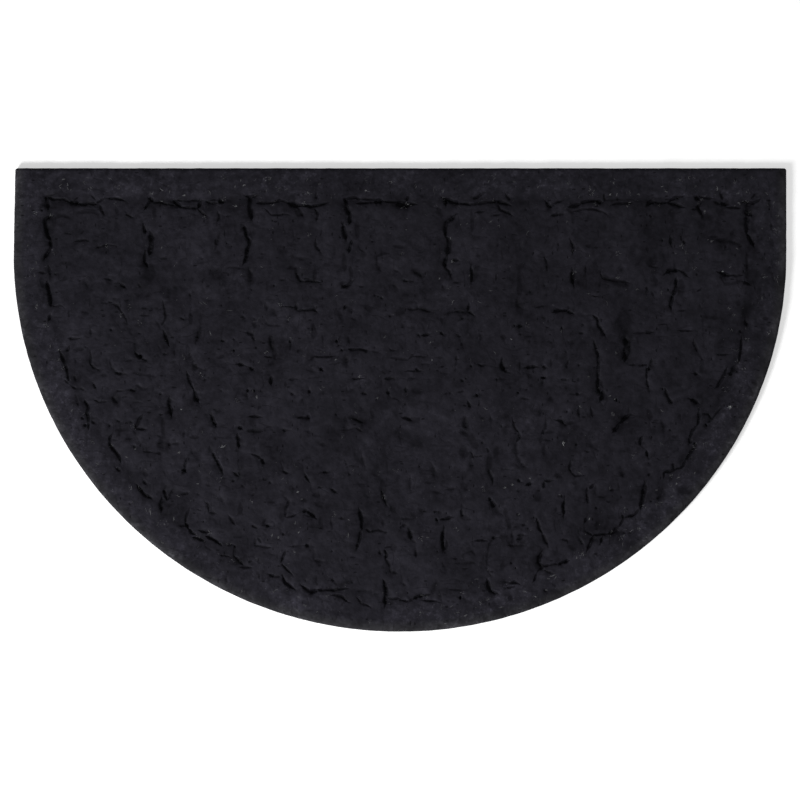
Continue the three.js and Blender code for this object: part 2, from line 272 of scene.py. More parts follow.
SECOND_COURSE = marks_from("""
    crease 1.8 -202,91 -203,82  dip 2.6 -203,84 -203,74  crease 4.4 -193,73 -195,64 -198,55
    slit 2.8 -195,68 -196,60  crease 3.0 -205,51 -203,43 -200,38 -203,33  crease 2.4 -203,37 -197,32 -190,29
    dip 5.0 -201,34 -198,31  cut 2.4 -206,27 -204,18 -200,10  cut 4.0 -200,9 -198,3 -196,-2
    slit 2.8 -174,58 -170,57  slit 2.0 -162,60 -160,58  pit 2.6 -161,48  crease 2.2 -173,35 -167,36
    dip 2.8 -175,41 -172,43  cut 2.8 -157,35 -151,34  crease 1.9 -145,40 -144,36  slit 3.6 -146,32 -142,29
    crease 3.0 -152,82 -150,78  slit 3.0 -149,65 -144,64 -141,58  crease 1.7 -141,58 -133,56
    dip 2.6 -143,74 -140,72  slit 1.8 -141,51 -138,51  crease 2.6 -130,76 -129,73
    crease 2.0 -129,73 -116,72  crease 3.2 -125,62 -126,55 -123,48  slit 2.0 -126,58 -125,51
    dip 4.0 -125,62 -124,53 -122,47 -122,41  slit 1.6 -132,42 -124,42  crease 1.7 -122,40 -113,40
    dip 2.6 -127,34 -124,36  crease 1.9 -135,27 -132,27  cut 3.2 -125,23 -125,15  slit 3.0 -108,57 -105,57
    slit 1.8 -106,56 -107,48  slit 2.6 -108,20 -101,21  dip 1.8 -111,19 -111,13  slit 2.8 -106,7 -103,5
    cut 2.6 -88,10 -88,6  crease 2.2 -90,29 -81,27  cut 3.4 -78,31 -75,29  crease 1.8 -89,21 -79,22
    slit 1.8 -87,39 -83,42 -73,42 -64,43  cut 3.2 -63,57 -60,57  crease 2.0 -60,58 -57,63
    crease 2.6 -86,65 -85,62  dip 3.0 -84,71 -84,60  crease 2.4 -100,48 -96,49  crease 1.6 -84,50 -76,48
    slit 2.0 -174,10 -172,8  cut 2.8 -149,9 -146,9  crease 2.4 -149,8 -148,2  pit 2.4 -141,9
    crease 2.2 -186,22 -184,22  cut 2.2 -146,-16 -135,-16  cut 2.0 -99,-17 -88,-17  slit 3.0 -89,-14 -88,-19
    cut 3.6 -183,-15 -181,-20 -179,-25  cut 3.2 -157,-26 -153,-28  dip 2.6 -179,-9 -177,-12
    dip 2.0 -202,-24 -197,-23  dip 2.4 -96,0 -94,0  slit 2.2 -63,-13 -61,-15  dip 2.2 -137,-8 -135,-6
    dip 8.0 -124,88 -121,82  crease 2.2 -48,79 -42,78  dip 3.0 -48,72 -48,69  crease 1.7 -75,63 -75,55
    crease 2.4 -186,41 -184,40  crease 2.0 -188,110 -184,111  crease 2.6 -142,80 -140,77
    crease 1.7 -84,108 -80,106  crease 2.2 -26,33 -23,32  crease 1.5 -19,28 -13,25
    crease 2.4 -130,-27 -124,-25  slit 2.8 -114,-29 -110,-30  crease 1.8 -117,-28 -104,-30
    crease 3.2 -91,-30 -87,-31  crease 3.0 -105,-84 -102,-87  slit 2.2 -163,-79 -160,-78
    crease 2.0 -38,-6 -37,-9  dip 2.8 -84,-92 -80,-92  crease 2.2 -56,-98 -54,-100  dip 2.6 -96,-98 -92,-97
""")

MIDDLE_FIELD = marks_from("""
    crease 2.8 -50,63 -49,55  cut 2.6 -57,50 -56,47  crease 1.7 -56,48 -50,49  cut 2.4 -50,49 -40,49 -31,48
    crease 2.0 -31,48 -20,46  slit 2.4 -10,50 -8,48 -4,48  crease 3.0 -52,41 -51,35  dip 6.0 -52,41 -53,36
    crease 1.7 -69,35 -57,36  slit 1.5 8,40 12,42 20,42 27,42  crease 2.0 27,45 27,42  dip 1.8 -8,41 8,39
    crease 1.8 20,35 28,35  slit 1.5 4,28 14,28 22,28  slit 3.0 15,31 18,28  cut 1.9 -46,21 -34,21
    slit 2.6 -15,21 -7,21  crease 2.4 -18,20 -18,14  crease 2.2 8,21 15,21  dip 1.8 36,41 41,41
    crease 2.2 41,26 47,25  slit 2.4 55,43 55,38  crease 2.4 55,39 54,33  slit 2.0 68,34 70,32
    slit 2.2 17,62 19,64  cut 2.8 22,63 29,64  cut 2.8 39,66 42,63  crease 1.8 -33,68 -32,64
    dip 2.4 2,73 4,71  dip 2.0 10,70 12,70  crease 2.8 -52,13 -51,9 -44,11  slit 2.4 -37,7 -32,6
    dip 2.8 -76,7 -73,7  cut 3.0 -12,9 -11,5  slit 3.0 6,12 6,7  dip 4.0 12,10 19,7  crease 3.6 47,7 50,6
    crease 1.7 43,6 47,6  slit 2.8 59,20 62,18  cut 3.0 73,4 76,5  crease 3.4 75,5 79,6  cut 2.4 66,-1 68,-7
    slit 2.0 4,-5 6,-3  crease 2.0 -3,0 0,-1  crease 1.7 -8,2 -2,0  slit 2.6 2,-17 7,-18 11,-20
    dip 4.0 9,-19 18,-20  slit 1.8 -46,-18 -36,-22  dip 4.0 -47,-17 -35,-21  crease 2.8 -56,-29 -49,-29
    crease 2.0 -50,-29 -43,-27  slit 2.4 -43,-27 -37,-30  dip 2.4 -53,-17 -53,-22  dip 2.2 -28,-11 -26,-16
    crease 4.2 63,-18 64,-27  dip 5.0 63,-18 64,-28  dip 2.8 51,-8 52,-11  welt 1.6 12,-8 24,-10 30,-6
    welt 2.6 -17,-11 -13,-10 -8,-13 -2,-17  welt 2.4 42,-13 47,-19  cut 3.6 114,72 119,72  pit 2.0 111,72
    slit 2.2 115,64 118,64  crease 3.0 77,64 79,62 77,57  pit 2.2 157,70  slit 2.2 176,73 179,73
    cut 2.0 173,65 178,65  crease 1.7 121,62 128,62  dip 2.2 124,57 127,57  crease 2.2 142,56 147,57
    crease 3.6 163,57 168,55  cut 2.0 76,34 79,33 84,34  cut 3.8 99,38 98,33 102,28  slit 2.6 102,29 104,28
    cut 3.0 122,32 132,32  crease 1.7 116,38 116,27  slit 3.2 138,33 142,31  crease 1.8 146,40 146,33
    cut 4.2 139,23 139,20  slit 2.2 139,20 138,15  crease 2.2 142,48 142,45  slit 2.4 163,39 162,31
    slit 2.6 172,34 175,34  slit 2.2 156,20 162,20  crease 2.6 173,22 173,18  pit 2.2 94,20
    crease 1.7 95,20 103,20  dip 3.0 126,14 129,14  dip 3.0 124,24 128,22  slit 3.0 114,6 115,8
    crease 1.7 115,8 118,12  crease 2.4 99,8 101,11  dip 2.0 106,12 108,12  slit 3.6 170,6 174,6
    crease 1.8 164,6 170,6  dip 2.2 160,12 162,12  dip 2.2 146,4 146,0  dip 2.6 136,-9 136,-14
    pit 2.2 162,-11  slit 3.0 173,-8 174,-15  slit 2.2 185,-8 187,-16  slit 2.6 151,-19 156,-20 159,-23
    dip 4.6 156,-21 159,-24  dip 2.6 163,-23 168,-22  crease 2.6 54,64 58,62  crease 3.0 59,56 61,52
    dip 3.4 98,62 102,60  dip 2.8 67,65 69,63  crease 1.6 117,27 125,25  crease 2.0 54,31 53,27
    crease 2.0 77,1 77,-5  crease 2.8 88,-16 88,-20  slit 2.2 79,-40 81,-42  crease 2.4 152,-104 151,-109
    dip 3.2 167,-80 171,-81  dip 5.0 134,-88 133,-96  crease 1.5 69,-55 76,-55
""")

RIGHT_FIELD = marks_from("""
    crease 1.7 175,81 181,82 187,82  cut 2.8 187,82 191,79 193,72 196,66  slit 3.4 195,69 199,62
    slit 2.8 188,57 190,49  slit 3.0 190,50 192,43 193,34  slit 1.8 192,44 194,37
    slit 3.0 193,36 192,29 192,20  crease 1.8 187,32 190,31  cut 3.6 192,22 192,14 194,6
    cut 4.2 197,9 196,3 194,-1  crease 2.6 194,20 197,12  pit 2.6 210,0  dip 12.0 217,82 216,70 219,58
    cut 5.0 218,60 220,52 219,45 218,38  slit 2.4 223,56 222,47 219,39  crease 1.7 225,65 238,65
    cut 1.9 238,65 246,66  crease 1.8 231,74 236,74  crease 1.1 249,73 263,73  crease 2.4 259,72 260,67
    cut 1.6 269,67 283,67  slit 1.6 222,34 228,34  cut 2.2 234,34 240,34  cut 4.0 240,31 243,30
    slit 2.0 244,40 243,32  cut 2.4 239,32 239,20  slit 2.4 239,21 241,12  crease 2.4 241,13 242,7
    slit 2.4 285,57 288,47  crease 2.4 288,48 293,39  dip 3.0 293,39 292,28  slit 3.0 285,26 289,25
    slit 1.7 307,44 319,44  cut 2.8 331,61 331,50 328,37  slit 4.2 326,34 323,28 320,24
    slit 2.6 327,33 327,26  cut 2.8 317,32 315,25 309,15 306,12  crease 2.8 255,40 257,36
    slit 3.0 257,11 262,-2  cut 3.4 281,1 289,-3  crease 1.8 222,-6 222,-13  cut 3.6 224,-14 218,-18 213,-23
    cut 3.8 213,-22 209,-28 207,-31  dip 5.0 214,-26 212,-32  crease 1.5 222,-14 232,-16
    cut 3.0 235,-35 233,-41 233,-44  crease 2.0 233,-44 238,-48  cut 3.2 239,-49 240,-55
    crease 1.9 240,-55 242,-58  dip 2.2 229,-40 229,-43  dip 4.0 241,-10 242,-18  crease 1.8 242,-21 243,-27
    crease 3.2 253,-19 256,-27 256,-32  crease 1.8 256,-32 256,-39  slit 2.0 261,-28 263,-30
    dip 1.8 263,-35 267,-36  slit 3.2 261,1 264,-3  cut 2.8 290,-10 290,-18 288,-25
    cut 2.6 288,-25 283,-31 281,-37 280,-43  cut 2.4 280,-42 284,-40  cut 3.0 285,-41 287,-44
    cut 2.6 287,-44 282,-51 277,-58  cut 2.4 277,-58 275,-64 272,-66 266,-67
    cut 2.8 268,-67 262,-69 256,-70  cut 2.2 256,-70 256,-76  slit 2.4 265,-61 266,-67
    dip 2.0 262,-74 262,-79  slit 2.2 293,-13 299,-14 302,-19  cut 1.9 302,-19 307,-13 312,-8
    crease 3.2 184,-40 187,-46 191,-48  crease 2.0 187,-47 188,-52 190,-57  slit 2.0 180,-50 184,-50
    slit 2.4 170,-42 172,-44  crease 4.4 215,-69 216,-74  dip 8.0 215,-68 216,-72  slit 2.6 240,-73 243,-71
    dip 3.0 240,-62 243,-63  slit 2.2 203,-87 208,-87  crease 2.4 191,-94 198,-94
    slit 3.0 190,-103 191,-106  cut 4.8 238,-80 237,-88 235,-97 233,-106
    slit 2.2 233,-105 228,-111 218,-114  slit 2.4 243,-97 244,-99  dip 8.0 252,-86 251,-94
    dip 8.0 272,-87 281,-88  slit 3.0 331,68 329,65  dip 3.4 328,97 328,93  crease 2.6 346,94 342,92
    crease 1.9 210,13 215,13  dip 2.2 295,81 307,79  dip 2.2 351,79 357,79  dip 3.0 342,19 345,15
    pit 2.0 358,185  slit 2.0 359,172 361,168  crease 3.0 328,148 332,150  slit 2.0 302,-19 299,-22
    slit 2.8 298,-24 296,-25  slit 2.0 249,-96 253,-93  crease 3.0 190,-82 189,-90
    slit 2.4 216,-128 219,-129  crease 2.2 236,-119 240,-119  dip 2.8 229,-134 233,-134
    dip 4.0 191,-119 191,-124
""")

FRONT_LEFT = marks_from("""
    cut 2.8 -158,-33 -157,-39 -156,-46  crease 2.0 -148,-30 -134,-30  dip 2.6 -148,-30 -134,-30
    crease 3.4 -185,-45 -182,-51  cut 2.8 -182,-51 -177,-60 -172,-70  crease 2.2 -177,-57 -175,-55
    crease 2.4 -202,-48 -201,-53  slit 2.6 -206,-56 -208,-62 -209,-66  cut 4.0 -208,-66 -210,-70
    slit 2.6 -162,-70 -156,-74  crease 2.4 -154,-82 -150,-86  slit 2.2 -144,-52 -139,-54 -134,-57
    cut 3.2 -134,-57 -132,-62  crease 1.8 -132,-62 -127,-62  crease 2.4 -115,-60 -114,-68
    cut 2.0 -114,-69 -108,-71  crease 2.6 -140,-82 -139,-87  slit 1.6 -144,-92 -141,-92
    slit 2.8 -211,-91 -205,-90  slit 2.2 -188,-99 -186,-101 -185,-108  slit 2.2 -185,-109 -178,-110
    crease 3.2 -174,-94 -172,-99  dip 3.4 -155,-101 -155,-109  slit 2.4 -166,-112 -160,-121
    crease 2.4 -130,-115 -133,-120 -128,-122  cut 2.8 -130,-122 -126,-122  cut 2.2 -144,-122 -138,-124
    crease 2.4 -140,-131 -141,-141  slit 1.8 -141,-141 -127,-143  crease 3.4 -112,-94 -108,-97
    slit 2.6 -107,-97 -110,-105 -111,-113  slit 2.2 -111,-113 -106,-113 -100,-111  dip 1.8 -128,-99 -121,-99
    slit 2.2 -127,-81 -125,-79  dip 2.6 -160,-49 -157,-49  crease 2.4 -168,-56 -166,-58
    dip 2.4 -197,-118 -195,-118  crease 1.8 -223,-62 -221,-62  dip 2.4 -203,-36 -196,-36
    dip 3.0 -180,-37 -178,-37  dip 2.4 -77,-43 -72,-44  crease 2.2 -38,-48 -37,-53
    crease 2.6 -37,-55 -34,-64  welt 2.0 -35,-47 -32,-60  crease 1.8 -80,-71 -67,-70
    slit 2.2 -75,-70 -70,-70  cut 2.8 -92,-72 -88,-79  slit 1.8 -80,-84 -76,-85  cut 2.6 -67,-86 -62,-90
    crease 2.0 -50,-64 -43,-64  slit 2.0 -50,-71 -48,-73  crease 3.0 -33,-92 -30,-95
    dip 3.0 -40,-81 -35,-84  dip 5.0 -17,-80 -16,-90  slit 3.2 -18,-88 -15,-95 -13,-101
    crease 3.0 10,-75 10,-84 11,-89  slit 3.0 -94,-109 -90,-106  cut 3.2 -91,-107 -84,-112 -82,-114
    crease 1.7 -94,-111 -86,-113  dip 2.6 -77,-115 -77,-123 -89,-122  crease 2.2 -67,-115 -66,-127
    crease 2.2 -70,-127 -65,-127  slit 2.2 -58,-114 -54,-115  cut 3.2 -39,-106 -37,-116 -37,-126
    cut 2.8 -38,-126 -39,-134 -42,-143  dip 6.0 -34,-115 -34,-127  slit 2.4 -33,-125 -28,-128
    slit 2.0 -28,-128 -21,-126 -16,-127  crease 2.8 -17,-116 -16,-122  crease 2.2 -11,-118 -9,-118
    crease 2.6 4,-115 12,-115  slit 2.6 2,-122 6,-121  slit 3.8 9,-126 11,-135
    crease 2.8 11,-136 15,-138 15,-152  slit 2.6 15,-146 16,-152  dip 4.0 -8,-104 -6,-108
    dip 4.0 -82,-100 -77,-102  dip 12.0 -1,-32 10,-36 18,-42  welt 3.0 -26,-30 -24,-35 -22,-41
    welt 2.4 -48,-24 -42,-25
""")

FRONT_RIGHT = marks_from("""
    dip 5.0 60,-31 66,-33 72,-42 74,-46  crease 2.6 60,-31 66,-32  dip 6.0 60,-46 62,-54
    dip 3.0 69,-60 69,-66  slit 2.4 109,-20 112,-27 115,-31  slit 2.4 115,-31 116,-36 113,-41
    crease 3.2 113,-41 112,-47 113,-54 117,-61  crease 3.6 117,-61 122,-65  slit 2.2 142,-19 141,-27 137,-33
    crease 4.4 137,-33 136,-41  crease 3.8 140,-44 140,-54  dip 1.8 140,-31 148,-31
    crease 1.7 139,-39 147,-39  slit 3.0 166,-59 164,-67 166,-70  slit 2.2 166,-70 170,-74 177,-73
    dip 5.0 94,-47 93,-54  dip 4.5 87,-55 86,-68  slit 3.0 86,-68 89,-74 90,-80  cut 3.0 114,-77 117,-79
    cut 3.2 122,-82 128,-81  crease 2.6 113,-88 117,-88  slit 3.0 139,-85 140,-79  slit 2.6 140,-79 148,-78
    dip 4.0 151,-73 154,-74  crease 3.4 31,-61 33,-67 33,-76  crease 2.4 16,-56 18,-58
    crease 2.8 32,-89 40,-91  dip 1.6 24,-80 32,-80  dip 5.0 61,-82 63,-86  crease 2.0 45,-87 54,-86
    cut 2.6 60,-106 60,-113  crease 1.8 60,-100 60,-107  dip 4.0 60,-114 68,-115  cut 3.0 35,-114 36,-118
    cut 2.8 39,-116 44,-115 50,-113  crease 3.0 36,-108 41,-109  cut 3.0 87,-94 88,-98
    slit 3.8 88,-98 92,-104  crease 4.4 92,-104 95,-109 99,-111  dip 3.0 102,-106 106,-123
    slit 2.2 113,-110 116,-112  slit 2.8 118,-121 122,-121  cut 2.8 133,-115 135,-124 138,-129
    slit 3.0 138,-129 143,-141  cut 3.4 160,-97 158,-103 159,-112  slit 1.8 156,-93 158,-93
    slit 2.8 182,-85 182,-100  cut 2.4 189,-81 184,-86  cut 2.6 181,-114 179,-119
    cut 3.4 43,-125 41,-135 42,-146  slit 2.6 45,-136 46,-141 43,-146  dip 2.4 19,-106 21,-108
    cut 2.2 73,-136 84,-136  slit 3.0 89,-134 93,-133  dip 3.0 97,-133 100,-133  crease 2.6 90,-135 86,-141
    crease 2.4 86,-141 85,-150 84,-160  crease 2.6 84,-164 89,-171  crease 3.2 109,-129 109,-139
    slit 3.0 113,-136 119,-133  slit 2.0 106,-141 111,-141  crease 2.6 110,-141 122,-141
    crease 3.0 42,-159 45,-166  crease 2.2 53,-158 72,-158  slit 2.6 157,-135 163,-136
    slit 2.6 174,-134 178,-140  crease 2.4 155,-129 159,-129  slit 2.0 107,-157 109,-159  pit 2.0 112,-163
    dip 4.0 100,-156 99,-164
""")

ROUND_SEAM = marks_from("""
    cut 2.6 -275,-66 -271,-69  slit 2.8 -249,-78 -246,-82  cut 3.0 -255,-82 -252,-87 -247,-92 -241,-95
    cut 3.0 -229,-87 -226,-97  slit 2.4 -226,-97 -223,-92 -220,-87  crease 2.2 -226,-82 -229,-87
    cut 4.0 -231,-95 -232,-101 -231,-107  dip 2.8 -226,-101 -223,-103
    slit 2.2 -204,-105 -207,-112 -208,-119  cut 3.2 -208,-119 -205,-124
    cut 2.8 -205,-124 -202,-128 -198,-131  slit 2.2 -214,-122 -207,-122
    cut 2.0 -196,-126 -190,-128 -183,-128  cut 2.2 -201,-133 -196,-134 -190,-137
    cut 3.2 -188,-132 -181,-135 -175,-139  slit 1.8 -175,-139 -172,-142  crease 2.0 -170,-141 -161,-141
    pit 2.2 -160,-142  dip 2.2 -160,-142 -161,-151  crease 2.2 -189,-142 -183,-146
    slit 1.8 -174,-150 -165,-152  cut 2.4 -161,-151 -157,-155 -152,-160  slit 2.2 -155,-162 -144,-162
    slit 2.2 -147,-157 -143,-156  cut 2.6 -111,-146 -115,-157  cut 2.4 -113,-160 -105,-169
    cut 2.8 -127,-169 -122,-171  slit 2.0 -123,-171 -116,-171  cut 3.0 -114,-170 -111,-178 -102,-183
    crease 2.6 -106,-142 -93,-141  slit 3.4 -92,-141 -88,-141  crease 2.0 -88,-141 -82,-143
    crease 2.8 -83,-146 -83,-155  slit 2.2 -83,-155 -76,-156  cut 3.0 -96,-180 -88,-185 -81,-184
    cut 4.2 -88,-186 -80,-185  cut 2.6 -81,-184 -65,-184 -51,-183  cut 2.4 -67,-189 -57,-190 -50,-196
    crease 2.0 -42,-185 -26,-185  cut 2.0 -41,-192 -37,-197 -29,-200  cut 2.8 -15,-145 -13,-150 -14,-154
    slit 2.6 -14,-154 -10,-161 -9,-166 -3,-167  cut 3.4 -16,-175 -13,-184 -14,-191 -14,-199
    cut 2.0 -13,-192 0,-193  cut 2.2 0,-194 8,-195 14,-192  cut 3.2 13,-193 18,-190 24,-190
    cut 1.8 23,-190 30,-188  cut 2.2 22,-194 32,-195 40,-196  crease 3.0 39,-187 40,-195
    slit 1.8 47,-183 60,-184  cut 3.4 57,-191 60,-192  crease 2.2 60,-192 64,-193
    cut 4.0 85,-174 86,-180 87,-185  cut 3.2 86,-185 94,-187  cut 2.8 107,-177 111,-176 116,-178
    cut 2.0 103,-182 112,-181  cut 3.6 138,-147 135,-154 134,-158 138,-162  dip 5.0 137,-147 134,-154
    cut 2.8 146,-160 139,-161 133,-167  cut 2.6 133,-167 130,-176  slit 2.2 140,-165 149,-168
    slit 1.8 145,-160 153,-159  cut 3.2 154,-160 158,-157 164,-156  cut 2.0 181,-128 187,-131
    cut 3.6 188,-131 186,-137 182,-146  cut 3.2 197,-132 194,-139  cut 2.6 202,-130 195,-130 187,-131
    cut 3.8 212,-122 207,-128 202,-130  cut 2.4 215,-111 217,-115 212,-123  cut 2.6 220,-113 228,-111
    slit 2.4 -114,-129 -112,-131  crease 2.0 -162,-133 -154,-133  slit 2.2 -138,-133 -134,-138
    crease 2.0 -140,-153 -136,-159  crease 1.7 -126,-149 -121,-151  crease 2.8 -168,-172 -169,-181
    crease 1.6 -137,-168 -136,-174  slit 2.6 -66,-173 -64,-176  crease 2.2 -64,-175 -61,-180
    dip 2.4 -52,-177 -45,-176  crease 2.2 -81,-171 -81,-178  slit 2.6 -20,-146 -19,-150
    dip 5.0 -7,-141 -6,-146  crease 2.0 -94,-203 -85,-204  crease 3.2 36,-175 34,-180 33,-187
    crease 1.8 60,-151 63,-148 70,-147 74,-151  crease 2.4 2,-178 6,-180  crease 2.2 13,-172 17,-172
    crease 2.4 44,-214 53,-213  crease 2.4 147,-178 152,-181  slit 2.4 140,-183 142,-186
    dip 3.2 106,-188 107,-192  dip 3.0 164,-142 169,-144  crease 1.5 98,-176 105,-177
    slit 2.2 114,-131 121,-131
""")

ALL_MARKS = (
    CORNER_LEFT + BACK_LEFT + BACK_MIDDLE + BACK_RIGHT_OF_MIDDLE + BACK_RIGHT + CORNER_RIGHT
    + LEFT_FIELD + SECOND_COURSE + MIDDLE_FIELD + RIGHT_FIELD
    + FRONT_LEFT + FRONT_RIGHT + ROUND_SEAM
)


# ---------------------------------------------------------------- plan and relief


class Noise:
    """Smooth random values from -1 to 1 on a line or a plane, the same on every run."""

    TABLE = 251

    def __init__(self, seed: int) -> None:
        """Fills the lattice that the values are read from."""
        self.lattice = np.random.default_rng(seed).uniform(-1.0, 1.0, (self.TABLE, self.TABLE))

    def plane(self, places: Array, size: float) -> Array:
        """Values on the plane.

        Args:
            places: N by 2 places.
            size: Distance between two lattice points.

        Returns:
            N values.
        """
        scaled = places / size
        corner = np.floor(scaled).astype(int)
        part = scaled - corner
        part = part * part * (3.0 - 2.0 * part)
        x0, y0 = corner[:, 0] % self.TABLE, corner[:, 1] % self.TABLE
        x1, y1 = (x0 + 1) % self.TABLE, (y0 + 1) % self.TABLE
        low = self.lattice[x0, y0] * (1 - part[:, 0]) + self.lattice[x1, y0] * part[:, 0]
        high = self.lattice[x0, y1] * (1 - part[:, 0]) + self.lattice[x1, y1] * part[:, 0]
        return low * (1 - part[:, 1]) + high * part[:, 1]

    def line(self, run: Array, size: float, row: int) -> Array:
        """Values along a line, which differ from row to row."""
        return self.plane(np.column_stack((run, np.full(len(run), row * size))), size)


def smoothstep(low: float, high: float, values: Array) -> Array:
    """0 below low, 1 above high, and smooth between."""
    t = np.clip((values - low) / (high - low), 0.0, 1.0)
    return t * t * (3.0 - 2.0 * t)


@dataclass(frozen=True)
class Outline:
    """The mat in plan: a straight back, two short flanks and a half-ellipse in front, in millimetres."""

    width: float
    depth: float
    flank: float = 84.0
    left_corner_in: float = 1.6
    corner_radius: float = 2.5
    back_steps: int = 270
    flank_steps: int = 30
    round_steps: int = 420
    corner_steps: int = 4

    @property
    def half(self) -> float:
        """Half the width."""
        return self.width / 2

    @property
    def back(self) -> float:
        """Where the straight back edge lies, along Y."""
        return self.depth / 2

    @property
    def round_centre(self) -> float:
        """Where the round side begins, along Y."""
        return self.back - self.flank

    @property
    def reach(self) -> float:
        """How far the round side comes forward of its centre."""
        return self.depth - self.flank

    def corner(self, x: float, y: float, start: float, radius: float) -> Array:
        """The points round a back corner, anticlockwise from a start angle."""
        angles = start + np.linspace(0.0, math.pi / 2, self.corner_steps + 1)
        return np.column_stack((x + radius * np.cos(angles), y + radius * np.sin(angles)))

    def ring(self, inset: float) -> Array:
        """The outline moved inwards.

        Args:
            inset: How far inside the outline the ring lies.

        Returns:
            Points anticlockwise from the right back corner, as many whatever the inset is.
        """
        radius = max(self.corner_radius - inset, self.corner_radius / 5)
        y = self.back - inset - radius
        x = self.half - inset - radius
        right = self.corner(x, y, 0.0, radius)
        left = self.corner(-x + self.left_corner_in, y, math.pi / 2, radius)
        angles = math.pi + np.linspace(0.0, math.pi, self.round_steps + 1)
        front = np.column_stack((
            (self.half - inset) * np.cos(angles),
            self.round_centre + (self.reach - inset) * np.sin(angles),
        ))
        return np.concatenate((
            right,
            self.between(right[-1], left[0], self.back_steps),
            left,
            self.between(left[-1], front[0], self.flank_steps),
            front,
            self.between(front[-1], right[0], self.flank_steps),
        ))

    @staticmethod
    def between(start: Array, end: Array, steps: int) -> Array:
        """The points that divide a straight stretch, without its two ends."""
        share = np.linspace(0.0, 1.0, steps + 1)[1:-1, None]
        return start + (end - start) * share

    def from_side(self, places: Array) -> Array:
        """How far places lie from the flanks and the round side.

        Args:
            places: N by 2 places.

        Returns:
            N distances, below 0 outside them.
        """
        x, y = places[:, 0], places[:, 1]
        up_flank = np.clip((y - self.round_centre) / self.flank, 0.0, 1.0)
        x = np.where(x < 0, x - self.left_corner_in * up_flank, x)
        forward = np.minimum(y - self.round_centre, 0.0)
        share = np.hypot(x / self.half, forward / self.reach)
        return (1.0 - share) * (self.half + self.reach) / 2

    def depth_inside(self, places: Array) -> Array:
        """How far each place lies inside the outline, below 0 outside it."""
        return np.minimum(self.from_side(places), self.back - places[:, 1])


@dataclass(frozen=True)
class Parting:
    """How one kind of fissure is shaped.

    Args:
        dark: How dark the painted shade in its middle is, from 0 to 1.
        crisp: How steep its sides are, from 0 to 1.
        deep: Its depth against that of an open fissure of the same width.
    """

    dark: float
    crisp: float
    deep: float

    def wall(self, share: Array) -> Array:
        """How much of the full depth is left, by the distance from the middle in half widths."""
        return 1.0 - smoothstep(0.3 * self.crisp, 2.0 - 0.8 * self.crisp, share)

    def shadow(self, share: Array) -> Array:
        """How much of the full darkness is left, by the same distance."""
        return 1.0 - smoothstep(0.6 * self.crisp, 2.2 - 0.8 * self.crisp, share)


PARTINGS = {
    Kind.CUT: Parting(dark=1.0, crisp=1.0, deep=1.0),
    Kind.SLIT: Parting(dark=0.92, crisp=0.6, deep=0.75),
    Kind.CREASE: Parting(dark=0.64, crisp=0.0, deep=0.35),
}

# The rows of mesh points along a mark, each as a share of its half width, a distance beyond that in
# millimetres, and how many stations apart the points stand.
OPEN_ROWS = (
    (0.0, 0.0, 1), (0.65, 0.0, 1), (-0.65, 0.0, 1), (1.3, 0.0, 1), (-1.3, 0.0, 1),
    (1.3, 0.9, 2), (-1.3, -0.9, 2), (1.3, 2.3, 3), (-1.3, -2.3, 3),
)
FOLD_ROWS = ((0.0, 0.0, 1), (0.9, 0.0, 2), (-0.9, 0.0, 2), (2.0, 0.2, 2), (-2.0, -0.2, 2))
SOFT_ROWS = ((0.0, 0.0, 2), (0.8, 0.0, 2), (-0.8, 0.0, 2), (1.7, 0.4, 3), (-1.7, -0.4, 3))
POINT_ROWS = {Kind.CUT: OPEN_ROWS, Kind.SLIT: OPEN_ROWS, Kind.CREASE: FOLD_ROWS}


@dataclass
class WornMark:
    """A mark worked out in full: its wandering middle line, and its width, depth, shade and lips along it."""

    kind: Kind
    weight: float
    middle: Array
    across: Array
    half: Array
    depth: Array
    shade: Array
    lip: Array

    def near(self, places: Array, margin: float) -> Array:
        """The indices of the places within a margin of the mark's box."""
        low, high = self.middle.min(0) - margin, self.middle.max(0) + margin
        return np.flatnonzero(((places > low) & (places < high)).all(1))

    def measure(self, places: Array) -> tuple[Array, Array, Array, Array, Array, Array]:
        """Where places lie beside the mark.

        Args:
            places: N by 2 places.

        Returns:
            For each place its distance, its side as -1 or 1, and the half width, depth, shade and lip there.
        """
        start, run = self.middle[:-1], np.diff(self.middle, axis=0)
        offset = places[:, None, :] - start
        share = np.clip((offset * run).sum(-1) / (run * run).sum(-1), 0.0, 1.0)
        gap = offset - share[..., None] * run
        distance = np.hypot(gap[..., 0], gap[..., 1])
        best = distance.argmin(1)
        rows = np.arange(len(places))
        share, gap, run = share[rows, best], gap[rows, best], run[best]
        side = np.where(run[:, 0] * gap[:, 1] - run[:, 1] * gap[:, 0] < 0, -1.0, 1.0)

        def along(values: Array) -> Array:
            """Values that the mark has at its stations, read at the nearest point to each place."""
            return values[best] * (1 - share) + values[best + 1] * share

        values = along(self.half), along(self.depth), along(self.shade), along(self.lip)
        return distance[rows, best], side, *values


